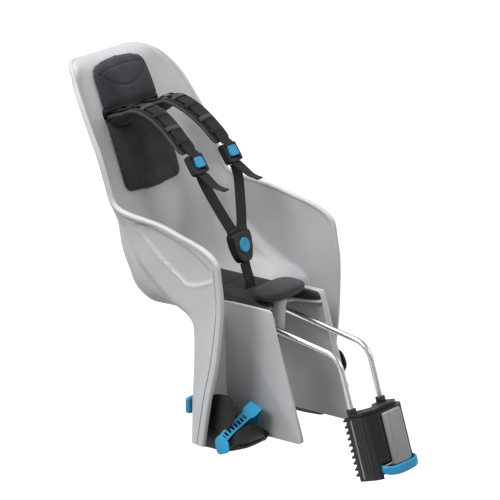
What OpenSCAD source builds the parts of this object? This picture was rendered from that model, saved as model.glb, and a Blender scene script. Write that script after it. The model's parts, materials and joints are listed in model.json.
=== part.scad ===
// Child seat carried behind the rider on two steel rods clamped to the frame's seat tube.
// Origin: centre of the seat tube clamp. +X is the riding direction, +Y left, +Z up.

/* [Shell] */
// Thickness of the moulded shell
shell_wall = 4; // [3:0.5:5]
// Extra thickness of the rolled rim
lip_t = 4; // [2:0.5:5]
// Depth of the sunken panel on the outside of each wing
panel_d = 2.2; // [1:0.1:2.5]
// Height of the seat pan above the clamp centre
pan_z = 208; // [200:1:230]
// Height of the backrest above the pan
back_h = 398; // [340:1:440]
// Distance from the clamp centre back to the rear of the pan's flat
pan_rear_x = 400; // [390:1:430]
// Length of the seat from the lumbar point to the front of the side wings
seat_len = 255; // [240:1:280]
// Half the distance between the inner leg boards
board_y = 72; // [66:1:80]
// Thickness of an inner leg board
board_t = 4; // [3:0.5:6]
// Half width over the side wings
hip_y = 158; // [150:1:175]
// Length of the leg guards below the pan
leg_len = 212; // [180:1:240]
// Height of the boards' top edge above the pan
tray_h = 18; // [12:1:24]
// How far the pan stops short of the boards' front at its middle
notch = 50; // [30:1:60]

/* [Pads] */
// Thickness of the back and head pads
back_pad_t = 14; // [10:1:20]
// Thickness of the seat pad
seat_pad_t = 20; // [16:1:24]
// Width of the head pad along its top edge
head_pad_w = 124; // [100:1:140]
// Length of the front cushion across the seat
pommel_w = 100; // [80:1:120]
// Depth of the front cushion
pommel_d = 54; // [44:1:66]
// Height of the front cushion
pommel_h = 28; // [22:1:36]

/* [Harness] */
// Width of the webbing
web_w = 25; // [20:1:30]
// Thickness of the webbing
web_t = 2.4; // [1.6:0.2:3]
// Width of a shoulder pad at the slot
sleeve_w = 58; // [45:1:64]
// Thickness of a shoulder pad
sleeve_t = 9; // [6:1:12]
// Width of the buckle
buckle_w = 50; // [40:1:60]
// Diameter of the buckle's release button
button_d = 27; // [20:1:32]
// Travel of a push button
button_travel = 3; // [2:0.5:4]

/* [Leg guards] */
// Width of a footrest across the channel
foot_w = 78; // [70:1:80]
// Length of a footrest's sole
foot_l = 98; // [80:1:104]
// How far a footrest can be raised from its lowest place
foot_lift = 100; // [60:5:110]
// Width of the footrest's guide slot in the rear wall
guide_w = 14; // [10:1:18]

/* [Carrier] */
// Diameter of the carrier rods
rod_d = 10; // [8:0.5:12]
// Half the distance between the rods
rod_y = 41; // [38:1:44]
// Height of the rods' level part above the clamp centre
rod_z = 188; // [182:1:190]
// Length of the sliding carrier under the pan
carrier_l = 84; // [70:1:90]
// How far the seat can be slid each way from the middle
slide_x = 25; // [10:1:25]
// Radial clearance of a shaft in its hole
fit_clear = 0.05; // [0.02:0.01:0.1]

/* [Frame clamp] */
// Diameter of the frame's seat tube
tube_d = 31.8; // [28:0.1:34]
// Lean of the seat tube from the vertical
tube_lean = 16.4; // [14:0.1:19]
// Length of the clamp along the tube
clamp_l = 112; // [90:1:120]
// Thickness of the rubber liner
liner_t = 3; // [2:0.5:4]
// Width of the clamp across the rods
clamp_w = 104; // [102:1:112]
// Distance from the tube axis to the front of the housing
clamp_front = 62; // [56:1:70]
// Diameter of the clamp bolts
bolt_d = 6; // [5:0.5:8]

/* [Hidden] */
$fn = 48;
seat = 0.3;                     // gap between pieces that rest on each other
rear_x = -pan_rear_x;
lumbar_x = rear_x - 46;
front_x = lumbar_x + seat_len;  // front edge of the side wings
board_top = pan_z + tray_h;
board_front = front_x + 35;     // front of the boards at the top
guard_x = sx(188);              // rear wall of the leg channels
carrier_x = rear_x + 90;        // middle of the sliding carrier
wall_col = "#c9cacc";
pad_col = "#525254";
web_col = "#1c1c1e";
blue_col = "#36a0c6";
steel_col = "#b9bbbe";
black_col = "#242426";

// Stretch functions: they turn drawn places into places for the sizes above
function sx(x) = lumbar_x + x * seat_len / 255;
function sy(y) = y <= 72 ? y * board_y / 72 : board_y + (y - 72) * (hip_y - board_y) / 86;
function sz(z) = pan_z + z * (z > 0 ? back_h / 398 : leg_len / 212);
function mix(a, b, t) = a + (b - a) * t;
function spline(p, i, t) =
    let (n = len(p) - 1, a = p[max(i - 1, 0)], b = p[i], c = p[min(i + 1, n)], d = p[min(i + 2, n)])
    0.5 * (2 * b + (c - a) * t + (2 * a - 5 * b + 4 * c - d) * t * t + (3 * b - a - 3 * c + d) * t * t * t);
function smooth(p, n) = concat([for (i = [0 : len(p) - 2], k = [0 : n - 1]) spline(p, i, k / n)], [p[len(p) - 1]]);
function bez(a, b, c, d, t) =
    a * pow(1 - t, 3) + b * 3 * t * pow(1 - t, 2) + c * 3 * t * t * (1 - t) + d * pow(t, 3);
function unit(v) = v / max(norm(v), 1e-9);
function flip(p) = [p[0], -p[1], p[2]];

// Sections of the shell from the top of the back, down, and round to the bottom of the leg guards.
// Each row: centre [forward, up], the crease [forward, out, up] and the rim [forward, out, up]
sections = [
    [[-151, 398], [-151, 60, 398], [-154, 68, 398]],
    [[-133, 397], [-135, 88, 396], [-140, 97, 394]],
    [[-116, 384], [-113, 105, 384], [-110, 119, 380]],
    [[-101, 352], [-92, 118, 350], [-78, 134, 348]],
    [[-81, 302], [-66, 126, 302], [-48, 143, 302]],
    [[-62, 252], [-44, 130, 254], [-22, 148, 258]],
    [[-44, 202], [-26, 132, 206], [-4, 150, 212]],
    [[-27, 152], [-10, 133, 150], [10, 150, 180]],
    [[-13, 104], [4, 137, 108], [40, 149, 169]],
    [[-3, 60], [26, 142, 88], [106, 149, 162]],
    [[12, 22], [58, 146, 70], [161, 152, 150]],
    [[46, 0], [94, 148, 53], [211, 155, 137]],
    [[92, 0], [128, 151, 34], [242, 157, 118]],
    [[138, 0], [160, 154, 16], [250, 158, 88]],
    [[184, 0], [188, 157, 0], [255, 160, 34]],
    [[188, -60], [195, 163, -60], [247, 166, -60]],
    [[188, -130], [196, 170, -130], [234, 172, -130]],
    [[188, -212], [197, 176, -212], [222, 177, -212]]];
tub_rows = 14;                  // rows after this one belong to the leg channels
sub = 2;                        // steps between two drawn rows
flat_n = 2;                     // steps across half of the flat middle
bend_n = 6;                     // steps from the flat to the crease
side_n = 6;                     // steps from the crease to the rim
lip_w = 12;                     // width of the rim that thickens

function side_steps(l) = let (u = min(lip_w, l / 2) / l)
    concat([for (j = [0 : side_n - 2]) (1 - u) * j / (side_n - 2)], [1 - u / 2, 1]);
function row(i, t) = [for (k = [0 : 2]) spline([for (r = sections) r[k]], i, t)];
// How far the bend into the side reaches: wide in the tub, tight in the leg channels
function bend_reach_at(i) = mix(0.4, 0.08, min(1, max(0, (i - tub_rows * sub + 6) / 6)));
function half_line(r, leg, reach) =
    let (f = [sx(r[0][0]), sy(leg ? 72 : min(72, r[1][1] - 6)), sz(r[0][1])],
        k = [sx(r[1][0]), sy(r[1][1]), sz(r[1][2])],
        e = [sx(r[2][0]), sy(r[2][1]), sz(r[2][2])],
        g = norm(k - f),
        a = f + [0, g * 0.55, 0],
        b = k - unit(e - k) * g * reach)
    concat([for (j = [0 : flat_n - 1]) [f[0], f[1] * j / flat_n, f[2]]],
        [for (j = [0 : bend_n - 1]) bez(f, a, b, k, j / bend_n)],
        [for (t = side_steps(norm(e - k))) mix(k, e, t)]);
half_n = flat_n + bend_n + side_n;
shell_rows = concat([for (i = [0 : len(sections) - 2], k = [0 : sub - 1]) row(i, k / sub)],
    [sections[len(sections) - 1]]);
shell_grid = [for (i = [0 : len(shell_rows) - 1])
    let (h = half_line(shell_rows[i], i >= tub_rows * sub, bend_reach_at(i)))
    concat([for (j = [half_n : -1 : 1]) flip(h[j])], h)];
function grid_normal(g, i, j) =
    let (n = len(g) - 1, m = len(g[0]) - 1,
        u = g[min(i + 1, n)][j] - g[max(i - 1, 0)][j],
        v = g[i][min(j + 1, m)] - g[i][max(j - 1, 0)])
    unit(cross(u, v));
function in_shell(i, j) = i >= 0 && i < len(shell_grid) - 1 && j >= 0 && j < 2 * half_n
    && (i < tub_rows * sub || j < half_n - flat_n || j >= half_n + flat_n);

// A sheet of even thickness over a grid of points, with cells left out where the test says so
module sheet(g, t) {
    n = len(g);
    m = len(g[0]);
    back = [for (i = [0 : n - 1], j = [0 : m - 1])
        g[i][j] - (t + (j < 2 || j > m - 3 ? lip_t : 0)) * grid_normal(g, i, j)];
    front = [for (r = g, p = r) p];
    o = n * m;
    cells = [for (i = [0 : n - 2], j = [0 : m - 2]) if (in_shell(i, j)) [i, j]];
    faces = [for (c = cells)
        let (i = c[0], j = c[1], a = i * m + j, b = a + 1, d = a + m, e = d + 1)
        each concat([[a, b, e], [a, e, d], [o + a, o + e, o + b], [o + a, o + d, o + e]],
            in_shell(i - 1, j) ? [] : [[b, a, o + a], [b, o + a, o + b]],
            in_shell(i + 1, j) ? [] : [[d, e, o + e], [d, o + e, o + d]],
            in_shell(i, j - 1) ? [] : [[a, d, o + d], [a, o + d, o + a]],
            in_shell(i, j + 1) ? [] : [[e, b, o + b], [e, o + b, o + e]])];
    polyhedron(points = concat(front, back), faces = faces, convexity = 8);
}

// A plate drawn in side view, [forward, up], and given its thickness across
module side_plate(y0, y1) {
    translate([0, y1, 0]) rotate([90, 0, 0]) linear_extrude(y1 - y0) children();
}

module board_outline() {
    w = guard_x - shell_wall;
    round_r = 9;
    hull() {
        polygon([[w, board_top], [board_front, board_top], [board_front, pan_z], [w, pan_z]]);
        translate([board_front + 62 - round_r, sz(-212) + round_r]) circle(round_r, $fn = 24);
        translate([w + 40, sz(-212)]) square([1, 1]);
        translate([w, sz(-206)]) square([1, 1]);
    }
}

// Sunken panel on a wing, cut along the slant of the wing's outer face
panel_line = [[54, 152], [64, 154], [102, 149], [139, 141], [170, 131], [193, 122], [229, 101], [234, 93], [231, 84],
    [215, 77], [190, 68], [170, 67], [146, 81], [112, 102], [73, 130], [56, 146]];
module wing_panel() {
    slant = 0.067;
    multmatrix([[1, 0, 0, 0], [slant, 1, 0, sy(151) + shell_wall - panel_d - slant * sx(144)], [0, 0, 1, 0]])
        side_plate(0, 20) polygon([for (p = panel_line) [sx(p[0]), sz(p[1])]]);
}

module guide_slot() {
    translate([guard_x - 12, stem_y - guide_w / 2, stem_z - stem_h / 2 - 2])
        cube([24, guide_w, foot_lift + stem_h + 4]);
}

module seat_shell() {
    color(wall_col) difference() {
        union() {
            sheet(shell_grid, shell_wall);
            for (s = [-1, 1]) {
                mirror([0, s < 0 ? 1 : 0, 0]) side_plate(board_y, board_y + board_t) board_outline();
            }
            pan_front();
            stem();
            for (k = [0 : 3]) back_rib(k);
        }
        for (s = [-1, 1]) {
            translate([sx(-82), s * strap_y, slot_z]) cube([40, sleeve_w + 6, slot_h], center = true);
            mirror([0, s < 0 ? 1 : 0, 0]) guide_slot();
            mirror([0, s < 0 ? 1 : 0, 0]) wing_panel();
            for (x = bolt_xs) translate([x, s * bolt_y, pan_z - 20]) cylinder(d = bolt_d + 0.4, h = 40, $fn = 24);
            for (x = bolt_xs) translate([x, s * bolt_y, pan_z - 3.5 - seat]) cylinder(d1 = bolt_d + 0.4, d2 = bolt_d + 8, h = 4, $fn = 24);
        }
        crotch_slot();
    }
}

module pan_front() {
    translate([0, 0, pan_z - shell_wall]) linear_extrude(shell_wall) difference() {
        translate([guard_x - 6, -board_y - 1]) square([board_front - guard_x + 6, 2 * board_y + 2]);
        hull() for (s = [-1, 1]) {
            translate([board_front - notch + 12, s * (board_y - 34)]) circle(12, $fn = 24);
            translate([board_front + 20, s * (board_y - 14)]) circle(12, $fn = 24);
        }
    }
}

// The stem that carries the front cushion, standing in the notch of the pan
stem_x = board_front - notch + 8;
stem_top = pan_z + 16;
module stem() {
    hull() {
        translate([stem_x, 0, pan_z - 42]) cylinder(d = 18, h = 1, $fn = 24);
        translate([stem_x, 0, stem_top - 1]) cylinder(d = 22, h = 1, $fn = 24);
        translate([stem_x - 14, -9, pan_z - 22]) cube([6, 18, 21]);
    }
}

// Upright stiffening ribs on the rear of the back
module back_rib(k) {
    y = [-54, -18, 18, 54][k];
    hull() {
        translate([sx(-18) - shell_wall - 8, y - 2, sz(120)]) cube([9.5, 4, 14]);
        translate([sx(-65) - shell_wall - 3, y - 2, sz(262)]) cube([4.5, 4, 4]);
    }
}

strap_y = 42;                   // half the distance between the shoulder straps
slot_z = sz(304);
slot_h = 14;
back_lean = 21.8;               // lean of the back at the slots

// Centre line of the shell's front face in side view, and a band laid on it
centre_line = [for (r = shell_rows) [sx(r[0][0]), sz(r[0][1])]];
function line_normal(p, i) =
    let (n = len(p) - 1, d = unit(p[min(i + 1, n)] - p[max(i - 1, 0)])) [-d[1], d[0]];
module band(i0, i1, t) {
    near = [for (i = [i0 : i1]) centre_line[i] + seat * line_normal(centre_line, i)];
    far = [for (i = [i1 : -1 : i0]) centre_line[i] + (i == i0 || i == i1 ? t * 0.55 : t) * line_normal(centre_line, i)];
    polygon(concat(near, far));
}

module front_view(x0, x1) {
    translate([x0, 0, 0]) rotate([90, 0, 90]) linear_extrude(x1 - x0) children();
}

module head_pad() {
    color(pad_col) intersection() {
        side_plate(-board_y - 4, board_y + 4) band(4, 8, back_pad_t);
        front_view(sx(-160), sx(40)) difference() {
            hull() {
                for (s = [-1, 1]) {
                    translate([s * (head_pad_w / 2 - 10), sz(370)]) circle(10, $fn = 24);
                    translate([s * (board_y - 4), sz(310)]) circle(6, $fn = 24);
                }
                translate([0, sz(385)]) circle(8, $fn = 24);
            }
            translate([-100, 0]) square([200, slot_z + slot_h / 2 + 1]);
        }
    }
}

module back_pad() {
    color(pad_col) intersection() {
        side_plate(-board_y - 4, board_y + 4) band(8, 14, back_pad_t);
        front_view(sx(-160), sx(60)) difference() {
            hull() for (s = [-1, 1]) {
                translate([s * (board_y - 4), sz(292)]) circle(6, $fn = 24);
                translate([s * (board_y - 8), sz(186)]) circle(10, $fn = 24);
                translate([s * 20, sz(176)]) circle(10, $fn = 24);
            }
            translate([-100, slot_z - slot_h / 2 - 1]) square([200, 40]);
        }
    }
}

module seat_pad() {
    top = pan_z + seat_pad_t;
    y = board_y - 0.5;
    color(pad_col) intersection() {
        side_plate(-y, y) polygon(concat(
            [for (i = [20 : 28]) centre_line[i] + seat * line_normal(centre_line, i)],
            [[board_front - 2, pan_z + seat], [board_front - 2, top - 10], [board_front - 12, top - 2],
                [board_front - 60, top], [sx(60), top], [sx(30), top + 10], [sx(12), top + 34],
                [sx(2), top + 36]]));
        translate([0, 0, pan_z - 20]) linear_extrude(120) difference() {
            translate([sx(-20), -y]) square([board_front - sx(-20) - 1, 2 * y]);
            translate([crotch_x, 0]) square([web_t + 1, web_w + 1], center = true);
            hull() for (s = [-1, 1]) {
                translate([board_front - notch - 4, s * (board_y - 34)]) circle(12, $fn = 24);
                translate([board_front + 20, s * (board_y - 14)]) circle(12, $fn = 24);
            }
        }
    }
}

module pommel_pad() {
    r = pommel_h / 2;
    color(pad_col) translate([stem_x, 0, stem_top + seat + r]) hull() {
        for (a = [-1, 1], b = [-1, 1]) {
            translate([a * (pommel_d / 2 - r), b * (pommel_w / 2 - r), 0]) sphere(r, $fn = 24);
        }
    }
}

// Webbing: a flat ribbon along a list of points, with its width along a given direction
function ring(p, i, w, t, lift, across) =
    let (n = len(p) - 1, d = unit(p[min(i + 1, n)] - p[max(i - 1, 0)]),
        a = unit(across - d * (d * across)), b = cross(d, a), c = p[i] + b * lift)
    [c - a * w / 2 - b * t / 2, c + a * w / 2 - b * t / 2, c + a * w / 2 + b * t / 2, c - a * w / 2 + b * t / 2];
module ribbon(p, w0, w1, t, lift = 0, across = [0, 1, 0]) {
    n = len(p);
    pts = [for (i = [0 : n - 1]) each ring(p, i, mix(w0, w1, i / (n - 1)), t, lift, across)];
    sides = [for (i = [0 : n - 2], k = [0 : 3])
        let (a = 4 * i + k, b = 4 * i + (k + 1) % 4)
        each [[a, b, b + 4], [a, b + 4, a + 4]]];
    polyhedron(points = pts, convexity = 6,
        faces = concat(sides, [[3, 2, 1, 0]], [[for (k = [0 : 3]) 4 * (n - 1) + k]]));
}

strap_line = [[sx(-76), strap_y, slot_z - 1], [sx(-50), strap_y, sz(311)], [sx(-19), strap_y, sz(322)], [sx(11), strap_y, sz(316)],
    [sx(41), strap_y + 2, sz(300)], [sx(68), strap_y + 4, sz(279)], [sx(88), strap_y + 4, sz(261)],
    [sx(93.35), strap_y + 4, sz(255.56)]];
lower_line = [[sx(114.15), strap_y + 4, sz(224.25)], [sx(119), strap_y + 4, sz(215)], [sx(126), strap_y + 1, sz(200)], [sx(136), 34, sz(174)],
    [sx(146), 24, sz(148)], [sx(155.3), web_w / 2 + 0.6, sz(122.6)]];
tail_line = [[sx(117), strap_y + 4, sz(224)], [sx(134), strap_y + 5, sz(214)], [sx(150), strap_y + 5, sz(207)],
    [sx(171), strap_y + 4, sz(203)]];
web_lift = (sleeve_t + web_t) / 2 + seat;

module side(s) {
    mirror([0, s < 0 ? 1 : 0, 0]) children();
}

module shoulder_sleeve(s) {
    color(web_col) side(s) ribbon(smooth([for (i = [0 : 6]) strap_line[i]], 3), sleeve_w, sleeve_w * 0.72, sleeve_t);
}

module shoulder_strap(s) {
    color(web_col) side(s) ribbon(concat([[anchor_x - 7, strap_y, slot_z - web_lift]], smooth(strap_line, 3)),
        web_w, web_w, web_t, web_lift);
}

module harness_strap(s) {
    color(web_col) side(s) {
        ribbon(smooth(lower_line, 3), web_w, web_w, web_t);
        ribbon(smooth(tail_line, 2), web_w, web_w * 0.6, web_t, web_t + 1);
    }
}

// A bar behind the shell that keeps the strap from pulling through its slot
anchor_x = sx(-82) - shell_wall / cos(back_lean);
anchor_t = 12;
module strap_anchor(s) {
    color(black_col) side(s) difference() {
        translate([anchor_x, strap_y, slot_z]) rotate([0, -back_lean, 0])
            translate([-anchor_t - seat, -sleeve_w / 2 - 10, -9]) cube([anchor_t, sleeve_w + 20, 18]);
        translate([anchor_x - 9.1, strap_y - web_w / 2 - seat, slot_z - web_t / 2 - 2 * seat])
            cube([30, web_w + 2 * seat, web_t + 3.6]);
    }
}

// Frames in which the fittings on the straps are drawn: +X runs down the strap, +Z faces the child's front
module at_adjuster(s) {
    side(s) translate([sx(104), strap_y + 4, sz(242)]) rotate([0, 56, 0]) children();
}

module at_buckle() {
    translate([sx(164), 0, sz(93)]) rotate([0, 74, 0]) children();
}

module rounded_plate(l, w, h, r) {
    hull() for (a = [-1, 1], b = [-1, 1]) {
        translate([a * (l / 2 - r), b * (w / 2 - r), 0]) cylinder(r = r, h = h, $fn = 32);
    }
}

adjuster_l = 38;
adjuster_w = 36;
key_l = 20;
key_w = 22;
module adjuster(s) {
    color(black_col) at_adjuster(s) difference() {
        translate([1, 0, -6]) rounded_plate(adjuster_l, adjuster_w, 14, 5);
        translate([-key_l / 2 - seat, -key_w / 2 - seat, 1]) cube([key_l + 2 * seat, key_w + 2 * seat, 20]);
    }
}

module adjuster_button(s) {
    color(blue_col) at_adjuster(s) translate([-key_l / 2, -key_w / 2, 1 + button_travel + seat])
        cube([key_l, key_w, 8]);
}

buckle_l = 56;
buckle_t = 18;
module buckle_body() {
    color(black_col) at_buckle() difference() {
        translate([0, 0, -buckle_t / 2]) hull() {
            for (b = [-1, 1]) {
                translate([-buckle_l / 2 + 8, b * (buckle_w / 2 - 8), 0]) cylinder(r = 8, h = buckle_t, $fn = 32);
                translate([buckle_l / 2 - 7, b * (buckle_w / 2 - 16), 0]) cylinder(r = 7, h = buckle_t - 2, $fn = 32);
            }
        }
        translate([-2, 0, -1]) cylinder(d = button_d + 2 * seat, h = buckle_t);
    }
}

module buckle_button() {
    color(blue_col) at_buckle() translate([-2, 0, -1 + button_travel + seat]) {
        cylinder(d = button_d, h = 7);
        translate([0, 0, 7]) cylinder(d1 = button_d, d2 = button_d - 5, h = 2);
    }
}

crotch_x = carrier_x + carrier_l / 2 + 6 + seat;
module crotch_slot() {
    translate([crotch_x, 0, pan_z]) cube([web_t + 1, web_w + 1, 60], center = true);
}

module crotch_strap() {
    color(web_col) ribbon([[sx(171.8), 0, sz(65.75)], [sx(177), 0, sz(48)], [sx(182), 0, sz(36)],
        [crotch_x, 0, sz(22)], [crotch_x, 0, pan_z - shell_wall - 8]], web_w, web_w, web_t);
}

// A bar under the pan that holds the lower end of the crotch strap
module crotch_anchor() {
    color(black_col) difference() {
        translate([crotch_x - 6, -web_w / 2 - 6, pan_z - shell_wall - seat - 10]) cube([12, web_w + 12, 10]);
        translate([crotch_x - web_t / 2 - seat, -web_w / 2 - 0.5, pan_z - shell_wall - 8 - seat]) cube([web_t + 2 * seat, web_w + 1, 20]);
    }
}

// Leg channel: places for the footrest and its release
channel_y = (board_y + board_t + sy(163)) / 2;
foot_z = sz(-226);
stem_z = sz(-150);
stem_y = channel_y + 20;
stem_h = 18;
foot_x = guard_x + 4;
release_x = guard_x - shell_wall - 16;
module footrest(s) {
    w = foot_w / 2;
    color(black_col) side(s) translate([foot_x, channel_y, foot_z]) difference() {
        union() {
            hull() {
                for (b = [-1, 1]) translate([foot_l - 18, b * (w - 22), 0]) cylinder(r = 22, h = 8, $fn = 32);
                translate([0, -w, 0]) cube([10, foot_w, 8]);
            }
            hull() {
                for (b = [-1, 1]) translate([0, b * (w - 12), 66]) rotate([0, 90, 0]) cylinder(r = 12, h = 7, $fn = 32);
                translate([0, -w, 0]) cube([7, foot_w, 4]);
            }
            side_plate(w - 5, w) hull() {
                square([foot_l - 14, 8]);
                translate([12, 80]) circle(12, $fn = 32);
                translate([45, 89]) circle(18, $fn = 32);
                translate([55, 76]) circle(14, $fn = 32);
            }
            side_plate(-w, -w + 5) hull() {
                square([foot_l - 10, 8]);
                translate([foot_l - 16, 16]) circle(12, $fn = 32);
                translate([10, 30]) circle(10, $fn = 32);
            }
            translate([release_x + 3 + button_travel + seat - foot_x, stem_y - channel_y - guide_w / 2 + seat,
                stem_z - foot_z - stem_h / 2])
                cube([foot_x - release_x, guide_w - 2 * seat, stem_h]);
        }
        translate([strap_x - strap_w / 2 - 2, w - 6, 10.5]) cube([strap_w + 4, 8, 10.5]);
    }
}

release_in = 24;
release_out = 38;
release_h = 30;
module footrest_release(s) {
    color(blue_col) side(s) translate([release_x, stem_y, stem_z]) difference() {
        translate([0, -release_in, -release_h / 2]) cube([11, release_in + release_out, release_h]);
        translate([3, -guide_w / 2, -stem_h / 2 - seat]) cube([20, guide_w, stem_h + 2 * seat]);
    }
}

strap_w = 22;
strap_x = 60;
strap_t = 3;
strap_path = [[0, 5 + seat + strap_t / 2, 14], [0.5, 5 + seat + strap_t / 2, 34], [1, 9, 50], [2, 17, 55], [3, 29, 48],
    [4, 43, 38], [4, 57, 27.5], [3, 69, 19.5], [2, 79, 13.5], [2, 88, 7], [2, 93, -1], [2, 95, -11]];
module foot_strap(s) {
    color(blue_col) side(s) translate([foot_x + strap_x - 2, channel_y - foot_w / 2, foot_z])
        ribbon(smooth(strap_path, 3), strap_w, strap_w, strap_t, 0, [1, 0, 0]);
}

// Carrier rods: one bent bar, a level loop under the pan and two legs down into the clamp
rod_u = 8;                      // the legs' distance in front of the tube's axis
function tube_at(u, s) = [u * cos(tube_lean) - s * sin(tube_lean), u * sin(tube_lean) + s * cos(tube_lean)];
rod_slope = 0.173;              // fall of the rods from the level part to the clamp
level_end = carrier_x + carrier_l / 2 + slide_x + 28;
loop_x = carrier_x - carrier_l / 2 - slide_x - 5;
leg_s = (rod_z - rod_u * sin(tube_lean) + rod_slope * (level_end - rod_u * cos(tube_lean)))
    / (cos(tube_lean) - rod_slope * sin(tube_lean));
rod_points = [[loop_x, rod_z], [level_end, rod_z], tube_at(rod_u, leg_s), tube_at(rod_u, -12)];
rod_bends = [0, 60, 40, 0];
bend_grow = 0.04;               // a bent length is this much thicker
bend_reach = 0.3;               // and a straight length ends this far inside it

module rod_run(p, r, d) {
    n = len(p) - 1;
    dir = [for (i = [0 : n - 1]) unit(p[i + 1] - p[i])];
    turn = [for (i = [0 : n]) i == 0 || i == n ? 0 : acos(dir[i - 1] * dir[i])];
    cut = [for (i = [0 : n]) r[i] * tan(turn[i] / 2)];
    for (i = [0 : n - 1]) {
        a = p[i] + dir[i] * (cut[i] - bend_reach);
        b = p[i + 1] - dir[i] * (i == n - 1 ? 0 : cut[i + 1] - bend_reach);
        translate([a[0], 0, a[1]]) rotate([0, atan2(dir[i][0], dir[i][1]), 0]) cylinder(d = d, h = norm(b - a));
    }
    for (i = [1 : n - 1]) {
        b = p[i] + dir[i] * cut[i];
        c = b + r[i] * [dir[i][1], -dir[i][0]];
        translate([c[0], 0, c[1]]) rotate([90, 0, 0]) rotate([0, 0, atan2(b[1] - c[1], b[0] - c[0])])
            rotate_extrude(angle = turn[i]) translate([r[i], 0]) circle(d = d + bend_grow);
    }
}

module carrier_bar() {
    color(steel_col) {
        for (s = [-1, 1]) translate([0, s * rod_y, 0]) rod_run(rod_points, rod_bends, rod_d);
        translate([loop_x, 0, rod_z]) rotate([0, 0, 90]) rotate_extrude(angle = 180)
            translate([rod_y, 0]) circle(d = rod_d + bend_grow);
    }
}

carrier_w = 2 * rod_y + rod_d + 14;
bolt_xs = [carrier_x - 28, carrier_x + 28];
bolt_y = 20;
module rod_holes() {
    for (s = [-1, 1]) {
        translate([carrier_x - 80, s * rod_y, rod_z]) rotate([0, 90, 0]) cylinder(d = rod_d + 2 * fit_clear, h = 160);
    }
}

module carrier_bolt_holes(extra) {
    for (x = bolt_xs, s = [-1, 1]) {
        translate([x, s * bolt_y, rod_z - 30]) cylinder(d = bolt_d + extra, h = 60);
    }
}

carrier_top = pan_z - shell_wall - 0.1;
plate_t = 9;
module carrier_block() {
    color(black_col) difference() {
        translate([carrier_x - carrier_l / 2, -carrier_w / 2, rod_z + seat])
            cube([carrier_l, carrier_w, carrier_top - rod_z - seat]);
        rod_holes();
        carrier_bolt_holes(0.1);
    }
}

module carrier_plate() {
    color(black_col) difference() {
        translate([carrier_x - carrier_l / 2, -carrier_w / 2, rod_z - seat - plate_t])
            cube([carrier_l, carrier_w, plate_t]);
        rod_holes();
        carrier_bolt_holes(0.1);
    }
}

module carrier_bolts() {
    low = rod_z - seat - plate_t;
    color(steel_col) for (x = bolt_xs, s = [-1, 1]) translate([x, s * bolt_y, 0]) {
        translate([0, 0, low - 6]) cylinder(d = bolt_d, h = pan_z - low + 5);
        translate([0, 0, pan_z - 3.5]) cylinder(d1 = bolt_d, d2 = bolt_d + 5.6, h = 2.8);
        translate([0, 0, low - 5.1]) cylinder(d = 10.9, h = 5, $fn = 6);
    }
}

// Clamp on the seat tube, drawn along the tube: +Z up the tube, +X forward
module at_tube() {
    rotate([0, -tube_lean, 0]) children();
}

half_w = clamp_w / 2;
clamp_r = tube_d / 2 + liner_t + fit_clear;
clamp_bolt_y = (clamp_r + rod_y - rod_d / 2) / 2;
lever_x = 34;
lever_z = -clamp_l / 2 + 18;
lever_w = clamp_w - 18;
module tube_hole() {
    translate([0, 0, -clamp_l]) cylinder(r = clamp_r, h = 2 * clamp_l, $fn = 96);
}

module clamp_bolt_holes(extra) {
    for (a = [-1, 1], b = [-1, 1]) {
        translate([-40, a * clamp_bolt_y, b * (clamp_l / 2 - 18)]) rotate([0, 90, 0]) cylinder(d = bolt_d + extra, h = 64);
    }
}

module bracket_body() {
    color(black_col) at_tube() difference() {
        union() {
            translate([0, 0, -clamp_l / 2]) linear_extrude(clamp_l)
                polygon([[0.5, -half_w], [34, -half_w], [44, -half_w + 4], [clamp_front - 6, -half_w + 20],
                    [clamp_front - 6, half_w - 20], [44, half_w - 4], [34, half_w], [0.5, half_w]]);
            translate([8, 0, clamp_l / 2 - 1]) linear_extrude(7) 
                polygon([[-4, -half_w + 4], [26, -half_w + 4], [36, -half_w + 22], [36, half_w - 22], [26, half_w - 4], [-4, half_w - 4]]);
        }
        tube_hole();
        for (s = [-1, 1]) translate([rod_u, s * rod_y, -12 - seat]) cylinder(d = rod_d + 2 * fit_clear, h = 2 * clamp_l);
        clamp_bolt_holes(0.1);
        translate([24, -lever_w / 2 - seat, -clamp_l / 2 - 1]) cube([80, lever_w + 2 * seat, 29]);
        translate([lever_x, 0, lever_z]) rotate([90, 0, 0]) cylinder(d = 4.1, h = 2 * clamp_w, center = true);
    }
}

rear_w = 2 * (clamp_bolt_y + bolt_d / 2 + 5);
module bracket_rear_jaw() {
    color(black_col) at_tube() difference() {
        union() {
            translate([0, 0, -clamp_l / 2 + 4]) linear_extrude(clamp_l - 8)
                polygon([[-0.5, -rear_w / 2], [-0.5, rear_w / 2], [-14, rear_w / 2], [-24, 14], [-24, -14], [-14, -rear_w / 2]]);
            for (k = [0 : 9]) translate([0, 0, -clamp_l / 2 + 6 + k * (clamp_l - 15) / 9]) linear_extrude(3)
                polygon([[-2, -rear_w / 2 - 3], [-2, rear_w / 2 + 3], [-18, rear_w / 2 + 3], [-30, 16], [-30, -16], [-18, -rear_w / 2 - 3]]);
        }
        tube_hole();
        clamp_bolt_holes(0.3);
        for (a = [-1, 1], b = [-1, 1]) {
            translate([-40, a * clamp_bolt_y, b * (clamp_l / 2 - 18)]) rotate([0, 90, 0]) cylinder(d = 11, h = 26);
        }
    }
}

module liner(s) {
    r = tube_d / 2;
    color("#2f2f31") at_tube() intersection() {
        translate([0, 0, -clamp_l / 2 + 2]) difference() {
            cylinder(r = r + liner_t, h = clamp_l - 4, $fn = 96);
            translate([0, 0, -1]) cylinder(r = r, h = clamp_l, $fn = 96);
        }
        translate([s > 0 ? 0.6 : -40.6, -40, -clamp_l]) cube([40, 80, 2 * clamp_l]);
    }
}

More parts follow.
